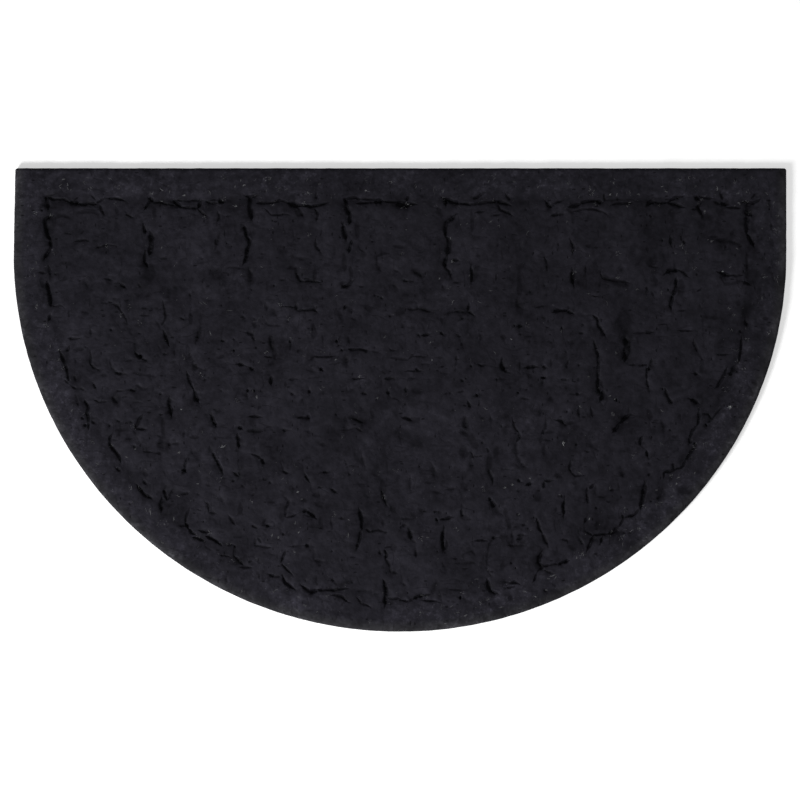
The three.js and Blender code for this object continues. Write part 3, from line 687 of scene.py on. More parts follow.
@dataclass
class Relief:
    """The height of the mat's upper face, and the masks of painted shade that its finish reads. Millimetres.
    """

    outline: Outline
    marks: tuple[Mark, ...]
    thickness: float
    station: float = 0.8
    sway: float = 0.42
    soft_sway: float = 0.5
    fine_sway: float = 0.55
    sway_sizes: tuple[float, float] = (5.5, 1.9)
    full_sway: float = 8.0
    uneven_size: float = 4.2
    fading_size: float = 6.0
    lip_size: float = 7.0
    least_weight: float = 0.15
    full_weight: float = 12.0
    end_share: tuple[float, float] = (0.1, 0.4)
    longest_end: float = 14.0
    end_power: tuple[float, float] = (0.35, 0.65)
    blunt: float = 0.35
    full_blunt: float = 9.0
    wide: float = 2.0
    narrowing: float = 0.22
    hairline: float = 0.8
    least_depth: float = 0.3
    depth_per_gape: float = 0.38
    plunge: float = 0.24
    deepest: float = 2.9
    narrowest: float = 0.08
    least_trough: float = 0.16
    trough_per_gape: float = 0.11
    trough_blur: float = 0.4
    least_pull: float = 0.25
    pull_per_depth: float = 0.35
    most_pull: float = 1.4
    lip_pull: float = 0.8
    shoulder: float = 0.85
    shoulder_width: float = 2.9
    lip_height: float = 0.3
    lip_width: float = 1.0
    lip_beside: float = 1.2
    reach: float = 11.0
    faintest: float = 0.4
    slope_shade: float = 0.36
    most_slope_shade: float = 0.55
    dip_shade: float = 1.45
    seam_shade: float = 0.75
    welt_rise: float = 0.7
    swell: float = 0.35
    pucker: float = 0.85
    bunching: float = 0.8
    bunch_share: float = 0.35
    bunch_size: float = 5.2
    bunch_width: float = 5.5
    resting: float = 1.2
    highest_rise: float = 0.6
    deepest_sink: float = 2.2
    thinnest: float = 1.8
    rim_lift: float = 0.3
    rim_width: float = 30.0
    rim_blur: tuple[float, float] = (6.0, 7.0)
    seam_inside: float = 33.0
    seam_width: float = 5.5
    seam_depth: float = 0.35
    first_seed: int = 1000
    noise: Noise = field(default_factory=lambda: Noise(seed=11))
    worn: list[WornMark] = field(init=False)

    def __post_init__(self) -> None:
        """Works out every mark in full."""
        self.worn = [self.work_out(mark, row) for row, mark in enumerate(self.marks)]

    def work_out(self, mark: Mark, row: int) -> WornMark:
        """Works out a mark in full.

        Args:
            mark: The mark.
            row: Its number, which picks the noise that it wanders by.

        Returns:
            The worn mark, with a station about every 0.8 mm.
        """
        corners = np.array(mark.path, float)
        run = np.concatenate(([0.0], np.cumsum(np.hypot(*np.diff(corners, axis=0).T))))
        length = run[-1]
        stations = np.linspace(0.0, length, max(5, int(round(length / self.station)) + 1))
        straight = np.column_stack([np.interp(stations, run, corners[:, i]) for i in (0, 1)])
        ahead = np.gradient(straight, axis=0)
        ahead /= np.hypot(*ahead.T)[:, None]
        across = np.column_stack((-ahead[:, 1], ahead[:, 0]))

        def noise(size: float, lattice_row: int) -> Array:
            """The mark's own noise along its stations."""
            return self.noise.line(stations, size, 3 * row + lattice_row)

        parting = PARTINGS.get(mark.kind)
        sway = self.sway * min(1.0, length / self.full_sway) * (1.0 if parting else self.soft_sway)
        wander = noise(self.sway_sizes[0], 0) + self.fine_sway * noise(self.sway_sizes[1], 1)
        middle = straight + across * (sway * wander)[:, None]
        taper = self.taper(stations, np.random.default_rng(self.first_seed + row))
        uneven = 0.5 + 0.5 * noise(self.uneven_size, 2)
        fading = 0.82 + (0.15 if mark.kind is Kind.CUT else 0.32) * noise(self.fading_size, 77)
        if parting is None:
            shade = 1.3 * fading
            half = mark.gape / 2 * (0.5 + 0.5 * taper)
            depth = (self.least_trough + self.trough_per_gape * mark.gape) * (0.35 + 0.65 * taper)
        else:
            shade = np.clip(1.2 * fading * parting.dark, 0.0, 1.0)
            gape = mark.gape - self.narrowing * max(mark.gape - self.wide, 0.0)
            half = gape / 2 * taper * (0.76 + 0.44 * uneven) * (0.93 + 0.2 * parting.crisp)
            depth = self.full_depth(mark.gape) * parting.deep * taper
            depth = depth * (0.7 + 0.3 * fading) * (0.8 + 0.25 * uneven)
        lip = self.lip_height * taper * noise(self.lip_size, 140)
        weight = min(1.0, self.least_weight + length / self.full_weight)
        return WornMark(mark.kind, weight, middle, across, half, depth, shade, lip)

    def taper(self, stations: Array, draw: np.random.Generator) -> Array:
        """How a mark narrows towards its ends.

        Args:
            stations: Distances along the mark.
            draw: Picks how long and how round each end is.

        Returns:
            For each station the share of its full width, from 1 down to the blunt tips.
        """
        length = stations[-1]
        near_end, far_end = draw.uniform(*self.end_share, 2) * min(length, self.longest_end)
        taper = np.minimum(stations / near_end, (length - stations) / far_end).clip(0.0, 1.0)
        bluntest = self.blunt * min(1.0, length / self.full_blunt)
        return np.maximum(taper ** draw.uniform(*self.end_power), bluntest)

    def full_depth(self, gape: float) -> float:
        """How deep an open fissure of a width is at its middle."""
        wider = max(gape - self.hairline, 0.0)
        return min(self.least_depth + self.depth_per_gape * wider + self.plunge * wider ** 2, self.deepest)

    @staticmethod
    def strip_points(mark: WornMark) -> Array:
        """The mesh points that a mark needs.

        Args:
            mark: The worn mark.

        Returns:
            Points along it and beside it.
        """
        points = []
        for share, beyond, stride in POINT_ROWS.get(mark.kind, SOFT_ROWS):
            offset = (mark.half * share + beyond)[::stride, None]
            points.append(mark.middle[::stride] + mark.across[::stride] * offset)
        return np.concatenate(points)

    def ground(self, places: Array) -> Array:
        """The face without its marks: it swells and puckers softly, and its rim stands a little proud.

        Args:
            places: N by 2 places.

        Returns:
            Heights.
        """
        # What is added to the places starts each pattern elsewhere in the noise.
        noise = self.noise
        bend = np.column_stack((noise.plane(places + 11.0, 15.0), noise.plane(places + 417.0, 15.0)))
        bent = places + 4.5 * bend
        wide = noise.plane(places, 62.0) + 0.8 * noise.plane(places + 500.0, 27.0)
        puckers = 0.8 * noise.plane(bent + 900.0, 10.5) + 0.5 * noise.plane(bent + 70.0, 6.1)
        puckers *= 0.8 + 0.3 * noise.plane(places + 270.0, 48.0)
        inside = self.outline.depth_inside(places) + 3.0 * noise.plane(places + 30.0, 24.0)
        rim = 1.0 - smoothstep(self.rim_width - self.rim_blur[0], self.rim_width + self.rim_blur[1], inside)
        relief = self.swell * wide + self.pucker * (1.0 - 0.3 * rim) * puckers
        relief += self.rim_lift * rim - self.seam_depth * self.seam(places, inside)
        return self.thickness - self.resting + relief

    def seam(self, places: Array, inside: Array) -> Array:
        """The soft trough between the rim and the field.

        Args:
            places: N by 2 places.
            inside: How far each lies inside the outline.

        Returns:
            How far each lies in the trough, from 0 to 1.
        """
        band = self.seam_band(inside)
        front = smoothstep(-0.2 * self.outline.back, -0.9 * self.outline.back, places[:, 1])
        return band * (1.0 - 0.6 * front) * (0.8 + 0.2 * self.noise.plane(places + 640.0, 19.0))

    def seam_band(self, inside: Array) -> Array:
        """1 on the line between the rim and the field, falling to 0 beside it."""
        return np.exp(-(((inside - self.seam_inside) / self.seam_width) ** 2))

    def evaluate(self, places: Array) -> tuple[Array, Array, Array]:
        """The upper face at places.

        Args:
            places: N by 2 places.

        Returns:
            Heights, the painted shade of each place down in a fissure, from 0 to 1, and the painted shade in
            a soft trough.
        """
        cut_depth, sunk, parted, shaded, busy = (np.zeros(len(places)) for _ in range(5))
        for mark in self.worn:
            near = mark.near(places, self.reach)
            if not len(near):
                continue
            distance, side, half, depth, shade, lip = mark.measure(places[near])
            parting = PARTINGS.get(mark.kind)
            if parting:
                share = distance / np.maximum(half, self.narrowest)
                cut_depth[near] = np.maximum(cut_depth[near], depth * parting.wall(share))
                bank = np.maximum(distance - half, 0.0)
                strength = np.minimum(self.least_pull + self.pull_per_depth * depth, self.most_pull)
                strength *= 1.0 - self.lip_pull * lip * side / self.lip_height
                strength *= mark.weight
                slope = np.exp(-((bank / self.shoulder_width) ** 2))
                sunk[near] += self.shoulder * strength * slope
                lip_shape = np.exp(-(((bank - self.lip_beside) / self.lip_width) ** 2))
                sunk[near] -= np.maximum(lip * side, 0.0) * lip_shape
                busy[near] += self.bunch_share * strength * np.exp(-((bank / self.bunch_width) ** 2))
                # Painted shade in the fissure, darkest in its middle and fainter where it is narrow.
                dark = parting.shadow(share) * (np.clip(half / self.faintest, 0.0, 1.0) * shade)
                parted[near] = np.maximum(parted[near], dark)
                # Painted shade on the sunken banks beside the fissure.
                dark = np.clip(self.slope_shade * strength, 0.0, self.most_slope_shade) * slope
                shaded[near] = np.maximum(shaded[near], dark)
            else:
                swell = np.exp(-((distance / (half + self.trough_blur)) ** 2))
                if mark.kind is Kind.DIP:
                    sunk[near] += depth * swell
                    # Painted shade in the soft trough.
                    dark = self.dip_shade * swell * np.clip(depth / self.faintest, 0.0, 1.0) * shade
                    shaded[near] = np.maximum(shaded[near], dark)
                else:
                    sunk[near] -= self.welt_rise * depth * swell
        # Painted shade along the seam between the rim and the field.
        in_seam = self.seam(places, self.outline.depth_inside(places))
        shaded = np.maximum(shaded, self.seam_shade * in_seam)
        bunched = self.bunching * np.clip(busy, 0.0, 1.0) * self.noise.plane(places + 810.0, self.bunch_size)
        sunk = np.clip(sunk, -self.highest_rise, self.deepest_sink)
        height = self.ground(places) + bunched - sunk - cut_depth
        return np.clip(height, self.thinnest, self.thickness), parted, shaded


@dataclass
class Shell:
    """Vertices, faces and masks of a mesh, in millimetres."""

    points: Array
    faces: list[tuple[int, ...]]
    masks: dict[str, Array]
    slots: Array

    def to_object(self, name: str, materials: list[bpy.types.Material]) -> bpy.types.Object:
        """A Blender object of the shell.

        Args:
            name: The object's name.
            materials: Its materials, in the order that the faces' slots number them.

        Returns:
            The linked object, smooth-shaded.
        """
        mesh = bpy.data.meshes.new(name)
        mesh.from_pydata((self.points * MM).tolist(), [], self.faces)
        for key, values in self.masks.items():
            layer = mesh.attributes.new(key, "FLOAT", "POINT")
            layer.data.foreach_set("value", values.astype(np.float32))
        mesh.polygons.foreach_set("material_index", self.slots.astype(np.int32))
        mesh.shade_smooth()
        for material in materials:
            mesh.materials.append(material)
        mesh.update()
        made = bpy.data.objects.new(name, mesh)
        bpy.context.scene.collection.objects.link(made)
        return made


@dataclass
class MatBody:
    """The pressed slab: a worn, fissured upper face, a rounded edge, an upright side and a flat underside."""

    outline: Outline
    relief: Relief
    edge_width: float = 4.0
    edge_drop: float = 3.5
    edge_steps: int = 7
    side_steps: int = 2
    foot_round: float = 0.7
    field_spacing: float = 3.0
    jitter: float = 0.28
    jitter_seed: int = 5
    clear_of_strips: float = 2.4
    clear_of_edge: float = 0.7
    closest: float = 0.34
    under_spacing: float = 9.0
    under_shift: tuple[float, float] = (0.37, 0.21)
    ragged: float = 0.22

    def field_points(self) -> Array:
        """The mesh points of the upper face.

        Returns:
            Close points beside the marks, and an uneven lattice elsewhere.
        """
        strips = np.concatenate([self.relief.strip_points(mark) for mark in self.relief.worn])
        step = self.field_spacing
        rows = np.arange(-self.outline.back, self.outline.back, step * math.sqrt(3) / 2)
        columns = np.arange(-self.outline.half, self.outline.half, step)
        x, y = np.meshgrid(columns, rows)
        x = x + (np.arange(len(rows)) % 2)[:, None] * step / 2
        lattice = np.column_stack((x.ravel(), y.ravel()))
        draw = np.random.default_rng(self.jitter_seed)
        lattice += draw.uniform(-self.jitter, self.jitter, lattice.shape) * step

        busy = set()
        reach = int(math.ceil(self.clear_of_strips))
        for px, py in np.unique(np.floor(strips).astype(int), axis=0):
            for dx in range(-reach, reach + 1):
                for dy in range(-reach, reach + 1):
                    if dx * dx + dy * dy <= self.clear_of_strips ** 2:
                        busy.add((px + dx, py + dy))
        keep = [tuple(cell) not in busy for cell in np.floor(lattice).astype(int).tolist()]
        points = np.concatenate((strips, lattice[np.array(keep)]))
        points = points[self.outline.depth_inside(points) > self.edge_width + self.clear_of_edge]
        cells = np.floor(points / self.closest).astype(int)
        _, first = np.unique(cells, axis=0, return_index=True)
        return points[np.sort(first)]

    @staticmethod
    def triangulate(ring: Array, inner: Array) -> tuple[Array, list[tuple[int, ...]]]:
        """Triangles between a ring and the points inside it.

        Args:
            ring: The boundary's points, anticlockwise.
            inner: Points inside it.

        Returns:
            The ring's points then the inner ones, and triangles of their indices that face up.
        """
        points = np.concatenate((ring, inner))
        border = [list(range(len(ring)))]
        inside_only, closest = 1, 1e-5
        vectors = [Vector(p) for p in points.tolist()]
        places, _, faces, _, _, _ = delaunay_2d_cdt(vectors, [], border, inside_only, closest)
        made = np.array([tuple(p) for p in places])
        if len(made) != len(points):
            raise ValueError(f"the triangles have {len(made)} points, and {len(points)} were given")
        return made, [tuple(f) for f in faces]

    def levels(self) -> list[tuple[float, float]]:
        """Where the rings of the side lie, from the rounded edge down to the foot.

        Returns:
            For each ring, how far inside the outline it lies and how high.
        """
        thickness, side_top = self.relief.thickness, self.side_top
        levels = []
        for i in range(self.edge_steps - 1, -1, -1):
            angle = math.pi / 2 * i / self.edge_steps
            drop = self.edge_drop * (1 - math.sin(angle))
            levels.append((self.edge_width * (1 - math.cos(angle)), thickness - drop))
        for i in range(1, self.side_steps + 1):
            levels.append((0.0, side_top + (self.foot_round - side_top) * i / self.side_steps))
        return levels + [(self.foot_round * 0.3, self.foot_round * 0.3), (self.foot_round, 0.0)]

    @property
    def side_top(self) -> float:
        """The height at which the upright side meets the rounded edge."""
        return self.relief.thickness - self.edge_drop

    def ring(self, inset: float, z: float) -> Array:
        """A ring of the side.

        Args:
            inset: How far inside the outline it lies.
            z: How high it lies.

        Returns:
            Its points, a little ragged above the floor.
        """
        ring = self.outline.ring(inset)
        noise = self.relief.noise
        share = z / self.relief.thickness
        bite = noise.plane(ring + 300.0, 7.0) * 0.6 + noise.plane(ring + 40.0 * share, 2.3) * 0.4
        outwards = ring - self.outline.ring(inset + 1.0)
        outwards /= np.hypot(*outwards.T)[:, None]
        swell = 0.0 if z == 0.0 else self.ragged
        return ring + outwards * (bite * swell - self.ragged * 0.5)[:, None]

    def under_points(self) -> Array:
        """The mesh points of the underside.

        Returns:
            A plain square lattice, clear of the foot.
        """
        lattice = np.arange(-self.outline.half, self.outline.half, self.under_spacing)
        x, y = np.meshgrid(lattice, lattice)
        points = np.column_stack((x.ravel(), y.ravel())) + self.under_shift
        return points[self.outline.depth_inside(points) > self.under_spacing / 2]

    def shell(self) -> Shell:
        """The slab's mesh.

        Returns:
            A closed shell, with the upper face and the side in slot 0 and the underside in slot 1.
        """
        top, faces = self.triangulate(self.outline.ring(self.edge_width), self.field_points())
        count = len(self.outline.ring(0.0))
        height, parted, shaded = self.relief.evaluate(top)
        LOG.info("upper face: %d points, %d triangles", len(top), len(faces))

        rim_height = height[:count] - self.relief.thickness
        points = [np.column_stack((top, height))]
        for inset, z in self.levels():
            rise = rim_height * max(0.0, (z - self.side_top) / self.edge_drop)
            points.append(np.column_stack((self.ring(inset, z), z + rise)))
        starts = [0] + [len(top) + count * i for i in range(len(points) - 1)]
        for above, below in zip(starts, starts[1:]):
            for i in range(count):
                after = (i + 1) % count
                faces.append((above + i, below + i, below + after, above + after))

        under, under_faces = self.triangulate(points[-1][:, :2], self.under_points())
        points.append(np.column_stack((under[count:], np.zeros(len(under) - count))))
        first_under = len(faces)
        faces += [tuple(starts[-1] + v for v in reversed(face)) for face in under_faces]
        all_points = np.concatenate(points)
        slots = np.zeros(len(faces), int)
        slots[first_under:] = 1
        plain = np.zeros(len(all_points) - len(top))
        # parted and shaded are the painted shade of the fissures and the troughs, which the finish reads.
        masks = {
            "parted": np.concatenate((parted, plain)),
            "shaded": np.concatenate((shaded, plain)),
            "inside": self.outline.depth_inside(all_points[:, :2]),
            "flank_gap": self.outline.from_side(all_points[:, :2]),
        }
        return Shell(all_points, faces, masks, slots)


@dataclass(frozen=True)
class Crazing:
    """The smallest cracks and pits, strewn between the marks that have a place of their own."""

    outline: Outline
    cracks: int = 150
    pits: int = 70
    margin: float = 36.0
    lengths: tuple[float, float] = (2.0, 7.5)
    gapes: tuple[float, float] = (1.1, 1.9)
    pit_wider: float = 0.3
    stray: float = 0.22

    def marks(self, seed: int) -> tuple[Mark, ...]:
        """The small marks.

        Args:
            seed: Picks where they fall.

        Returns:
            Cracks that mostly run with the back edge or straight away from it, and pits.
        """
        draw = np.random.default_rng(seed)
        made = []
        while len(made) < self.cracks + self.pits:
            x = draw.uniform(-self.outline.half, self.outline.half)
            y = draw.uniform(-self.outline.back, self.outline.back)
            length = draw.uniform(*self.lengths)
            gape = draw.uniform(*self.gapes)
            turn = draw.choice((0.0, 0.0, math.pi / 2)) + draw.normal(0.0, self.stray)
            if self.outline.depth_inside(np.array([[x, y]]))[0] < self.margin:
                continue
            third = len(made) % 3 == 0
            if len(made) < self.cracks:
                dx, dy = length / 2 * math.cos(turn), length / 2 * math.sin(turn)
                kind = Kind.SLIT if third else Kind.CREASE
                made.append(Mark(kind, gape, ((x - dx, y - dy), (x + dx, y + dy))))
            else:
                kind = Kind.CREASE if third else Kind.SLIT
                path = ((x - gape * PIT_REACH, y), (x + gape * PIT_REACH, y))
                made.append(Mark(kind, gape + self.pit_wider, path))
        return tuple(made)


# ---------------------------------------------------------------- pale fibres caught in the rubber


@dataclass(frozen=True)
class Fleck:
    """A pale fibre caught in the face: its place, length and width in millimetres, its shade and its turn.

    Args:
        x: Place along the back edge.
        y: Place towards the back edge.
        length: How long it is.
        width: How wide it is at its middle.
        pale: Its shade, from 0, black, to 1, white.
        turn: The way it points, in degrees from +X.
    """

    x: float
    y: float
    length: float
    width: float
    pale: float
    turn: float


STAR = ((1.0, 20.0), (0.8, 85.0), (0.7, 150.0))


def flecks_from(rows: str) -> tuple[Fleck, ...]:
    """Reads flecks, each written as its place x,y and its length, width, shade and turn.

    Args:
        rows: The flecks, two spaces apart. One without a turn is three short fibres that cross.

    Returns:
        The flecks, in the same order.
    """
    flecks = []
    for words in re.findall(r"(\S+),(\S+) (\S+) (\S+) (\S+)(?: (\S+))?", rows):
        x, y, length, width, pale = (float(word) for word in words[:5])
        fibres = ((1.0, float(words[5])),) if words[5] else STAR
        flecks += [Fleck(x, y, length * share, width, pale, turn) for share, turn in fibres]
    return tuple(flecks)


FLECKS = flecks_from("""
    320,-7 6.4 1.3 0.66  -326,214 4.0 1.3 0.42 20  -322,209 3.8 1.2 0.38 80  -329,206 3.2 1.1 0.32 -30
    -319,204 3.0 1.0 0.30 10  -99,-89 3.6 0.9 0.55  126,-76 3.0 0.8 0.40  102,-85 4.0 1.0 0.42
    109,-82 3.6 1.1 0.45  -33,203 3.4 1.2 0.50  -214,-51 4.4 1.0 0.34  -212,-9 3.0 1.0 0.40
    268,-81 3.0 0.8 0.50  -22,2 3.6 0.7 0.34  -172,-44 8.6 1.3 0.72 22  159,-42 6.2 2.0 0.72 92
    313,125 2.4 1.8 0.70 10  320,129 3.4 0.9 0.40 35  307,205 5.2 1.6 0.50 95  328,200 4.4 1.1 0.42 8
    355,200 5.0 1.1 0.30 -35  -231,204 5.0 1.3 0.46 -40  -223,202 4.0 1.0 0.34 80  -209,198 4.0 1.8 0.50 15
    -185,201 6.0 1.3 0.30 -65  -151,208 4.0 1.6 0.46 20  -160,207 3.6 1.2 0.36 85  -129,203 4.2 1.1 0.26 70
    -110,204 4.6 0.9 0.26 25  -231,193 2.6 1.1 0.34 0  -231,148 2.8 1.5 0.30 85  -134,129 4.6 1.0 0.26 -30
    -193,94 6.0 1.0 0.24 -35  -165,87 7.0 1.0 0.24 0  -187,99 2.6 1.0 0.22 40  204,199 3.6 1.8 0.46 40
    210,199 4.6 1.0 0.50 70  231,199 4.0 1.4 0.30 0  254,207 2.6 1.5 0.50 0  258,202 4.0 1.2 0.44 -20
    184,203 3.4 1.4 0.28 20  188,203 3.0 1.0 0.26 50  162,173 3.0 1.0 0.30 60  184,140 2.8 1.3 0.20 80
    183,103 4.4 1.0 0.24 0  230,107 3.6 1.5 0.28 0  219,107 2.4 1.0 0.30 30  254,104 7.0 1.4 0.20 95
    200,94 7.0 1.0 0.18 -70  267,142 3.4 1.1 0.26 -20  327,147 3.4 1.2 0.30 -20  289,142 3.8 0.9 0.26 45
    351,99 5.6 1.2 0.30 88  363,118 4.0 0.8 0.28 90  351,166 2.6 1.2 0.24 0  7,176 2.4 1.0 0.26 0
    6,165 2.2 1.0 0.40 0  38,118 3.0 1.3 0.40 80  88,173 4.6 1.2 0.34 25  124,162 7.0 0.9 0.24 62
    119,151 10.0 0.6 0.14 86  65,171 2.4 1.1 0.30 60  59,170 2.4 0.9 0.30 60  49,157 2.8 0.9 0.34 80
    67,121 2.8 1.0 0.26 80  77,95 5.6 1.2 0.22 -30  88,106 4.0 1.4 0.24 0  34,204 12.0 1.2 0.14 88
    -184,65 5.4 1.5 0.32 -75  -189,94 6.6 1.1 0.22 -40  -141,76 3.0 1.0 0.24 20  -138,77 2.6 1.0 0.24 70
    -106,60 2.8 1.2 0.26 0  -137,37 3.8 0.9 0.26 50  -139,3 4.4 1.4 0.50 92  -143,9 3.0 0.9 0.26 88
    -62,39 3.2 1.5 0.46 30  -93,43 6.0 0.8 0.26 -28  -15,61 4.0 1.4 0.24 30  36,67 3.4 0.9 0.26 0
    31,39 3.0 1.5 0.46 85  -43,-12 3.0 1.0 0.34 -30  -43,-5 9.0 0.7 0.14 94  68,38 6.0 0.7 0.20 92
    92,46 4.6 1.2 0.32 -55  108,59 3.2 1.3 0.46 -30  156,67 4.6 1.0 0.24 80  83,-8 6.0 1.2 0.28 -38
    175,-6 4.4 1.2 0.34 -35  183,23 3.4 1.2 0.26 0  204,4 2.8 1.3 0.40 30  208,1 2.4 1.2 0.44 0
    206,-13 4.2 1.2 0.40 88  193,12 2.4 0.8 0.24 0  -196,-81 3.2 1.8 0.34 0  -215,-93 5.6 1.1 0.36 -28
    -242,-109 6.0 1.8 0.30 95  -219,-115 6.0 1.6 0.30 88  -114,-76 4.4 0.9 0.30 40
    -195,-69 5.4 0.9 0.24 -55  -184,-70 5.4 0.9 0.24 55  -192,-31 3.6 1.2 0.24 85  -124,-131 4.4 1.3 0.40 80
    -118,-133 3.4 1.3 0.44 70  -98,-128 3.4 1.2 0.46 60  -102,-119 5.0 1.2 0.28 80  -95,-96 2.6 1.2 0.30 0
    -50,-116 3.4 1.0 0.36 -30  -51,-131 7.0 1.4 0.34 88  -45,-68 3.4 0.9 0.26 60  -98,-128 3.0 1.0 0.36 0
    27,-133 4.0 1.2 0.24 0  80,-84 3.4 1.2 0.28 30  155,-92 3.0 1.2 0.34 0  115,-111 3.8 0.9 0.32 40
    184,-115 3.4 1.5 0.44 75  174,-71 6.0 1.4 0.20 -30  204,-85 5.0 0.8 0.30 88  254,-10 5.0 1.1 0.36 -35
    207,-14 3.6 1.1 0.36 88  270,-75 4.4 1.4 0.40 25  263,-83 3.0 1.0 0.30 60  265,-87 4.6 0.8 0.32 -65
    249,-87 3.4 1.2 0.34 0  264,-94 4.0 0.9 0.32 0  254,-99 4.0 1.2 0.26 10  225,-127 4.6 1.0 0.50 28
    218,-126 5.0 1.0 0.28 0  233,-125 2.4 1.1 0.30 0  217,-131 4.0 1.8 0.28 60  239,-133 2.6 1.2 0.44 0
    286,-71 4.6 1.1 0.30 65  266,-105 4.6 1.0 0.26 0  148,-170 7.0 1.5 0.44 18  151,-172 5.0 1.2 0.36 60
    144,-173 3.4 1.2 0.34 0  121,-186 4.6 1.2 0.38 -30  142,-184 3.0 1.1 0.36 0  98,-201 5.6 1.1 0.34 10
    64,-209 5.0 1.6 0.34 20  71,-208 3.0 1.0 0.28 80  44,-217 3.0 1.6 0.40 0  50,-200 4.4 1.4 0.26 30
    74,-174 5.6 1.2 0.26 10  177,-148 4.4 1.3 0.36 40  171,-153 2.6 1.6 0.26 88  216,-140 6.0 1.1 0.28 92
    224,-142 2.6 1.0 0.28 90  -120,-184 4.0 1.1 0.34 20  -98,-191 4.0 1.1 0.34 -40  -257,-47 4.6 1.2 0.34 50
    -265,-55 4.0 1.2 0.30 -20  -318,-10 4.0 1.2 0.34 70  -339,52 3.6 1.2 0.34 85  -329,208 4.6 1.1 0.28 30
    -322,205 3.6 1.1 0.30 -60  -303,215 5.0 1.0 0.28 10  -281,214 5.0 1.2 0.32 -30  -276,207 4.0 1.0 0.28 75
    -154,213 4.0 1.1 0.30 70  -126,215 4.6 1.0 0.28 0  -90,214 5.0 1.0 0.26 60  -78,210 4.0 1.1 0.28 15
    -9,212 5.0 1.1 0.28 10  15,207 4.4 1.0 0.34 85  61,218 5.0 1.0 0.28 20  86,212 3.6 1.1 0.30 60
    111,212 4.0 1.0 0.28 -20  134,207 4.6 1.1 0.30 45  -353,133 5.0 1.0 0.26 85  -354,121 5.0 1.0 0.26 95
""")


@dataclass
class Lint:
    """Pale fibres pressed into the face: some with a place of their own, and finer ones strewn about."""

    outline: Outline
    strewn: int = 960
    nests: int = 150
    nest_size: int = 6
    nest_spread: float = 2.4
    rim: float = 38.0
    rim_share: float = 0.62
    stations: int = 5
    slenderness: float = 0.6
    crown: float = 0.3
    sink: float = 0.06
    loft: float = 40.0
    clear_of_edge: float = 7.0
    tuft_seed: int = 19
    strew_seed: int = 17
    bow_seed: int = 31

    def strew(self, seed: int) -> list[Fleck]:
        """The finer fibres.

        Args:
            seed: Picks where they fall.

        Returns:
            Flecks, most of them on the rim.
        """
        draw = np.random.default_rng(seed)
        made = []
        for _ in range(self.strewn):
            x, y = self.place(draw)
            pale = 0.12 + 0.3 * draw.random() ** 3.0
            length = 0.8 + 2.6 * draw.random() ** 1.6
            made.append(Fleck(x, y, length, draw.uniform(0.3, 0.75), pale, draw.uniform(0.0, 180.0)))
        for _ in range(self.nests):
            x, y = self.place(draw)
            pale = draw.uniform(0.16, 0.42)
            for dx, dy in draw.normal(0.0, self.nest_spread / 2, (self.nest_size, 2)):
                size = draw.uniform(0.7, 1.2)
                turn = draw.uniform(0.0, 180.0)
                made.append(Fleck(x + dx, y + dy, 2.0 * size, 0.8 * size, pale * size, turn))
        return made

    @staticmethod
    def tufts(seed: int) -> list[Fleck]:
        """The flecks that have a place of their own, each as a frayed tuft.

        Args:
            seed: Picks how they fray.

        Returns:
            A main fibre for each fleck, and two shorter, darker ones that cross it.
        """
        draw = np.random.default_rng(seed)
        made = []
        for fleck in FLECKS:
            made.append(replace(fleck, length=0.9 * fleck.length, width=0.85 * fleck.width))
            for side in (-1, 1):
                along = draw.uniform(-0.3, 0.3) * fleck.length
                turn = math.radians(fleck.turn)
                made.append(Fleck(
                    x=fleck.x + along * math.cos(turn),
                    y=fleck.y + along * math.sin(turn),
                    length=(0.4 + 0.3 * draw.random()) * min(fleck.length, 4.0),
                    width=0.6 * fleck.width,
                    pale=(0.5 + 0.35 * draw.random()) * fleck.pale,
                    turn=fleck.turn + side * draw.uniform(30.0, 80.0),
                ))
        return made

    def place(self, draw: np.random.Generator) -> Place:
        """A random place on the face.

        Args:
            draw: Picks it.

        Returns:
            The place, which is on the rim as often as rim_share says.
        """
        wants_rim = draw.random() < self.rim_share
        while True:
            x = draw.uniform(-self.outline.half, self.outline.half)
            y = draw.uniform(-self.outline.back, self.outline.back)
            inside = self.outline.depth_inside(np.array([[x, y]]))[0]
            if inside > self.clear_of_edge and wants_rim == (inside < self.rim):
                return x, y

    def shell(self, body: bpy.types.Object) -> Shell:
        """The fibres' mesh, laid on the face.

        Args:
            body: The mat that they lie on.

        Returns:
            Closed slender fibres, each with a three-sided section that swells at its middle.
        """
        mesh = body.data
        tree = BVHTree.FromPolygons([v.co[:] for v in mesh.vertices], [p.vertices[:] for p in mesh.polygons])
        draw = np.random.default_rng(self.bow_seed)
        points, faces, pales = [], [], []
        for fleck in self.tufts(self.tuft_seed) + self.strew(self.strew_seed):
            angle = math.radians(fleck.turn)
            ahead = np.array((math.cos(angle), math.sin(angle)))
            across = np.array((-ahead[1], ahead[0]))
            bow = draw.uniform(-0.22, 0.22) * fleck.length
            start = len(points)
            for share in np.linspace(0.0, 1.0, self.stations):
                swell = math.sin(math.pi * min(max(share, 0.06), 0.94)) ** 0.7
                side = bow * (1 - (2 * share - 1) ** 2)
                middle = np.array((fleck.x, fleck.y)) + ahead * (share - 0.5) * fleck.length + across * side
                half = fleck.width / 2 * self.slenderness * swell
                above = Vector((middle[0], middle[1], self.loft)) * MM
                z = tree.ray_cast(above, Vector((0, 0, -1)))[0].z / MM - self.sink
                left, right = middle + across * half, middle - across * half
                points.append((left[0], left[1], z))
                points.append((right[0], right[1], z))
                points.append((middle[0], middle[1], z + self.sink + self.crown * half))
            for i in range(self.stations - 1):
                a, b = start + 3 * i, start + 3 * i + 3
                faces += [(b, b + 1, a + 1, a), (b + 1, b + 2, a + 2, a + 1), (b + 2, b, a, a + 2)]
            end = start + 3 * (self.stations - 1)
            faces += [(start, start + 1, start + 2), (end, end + 2, end + 1)]
            pales += [fleck.pale ** 1.2] * (3 * self.stations)
        return Shell(np.array(points), faces, {"paleness": np.array(pales)}, np.zeros(len(faces), int))


# ---------------------------------------------------------------- finishes


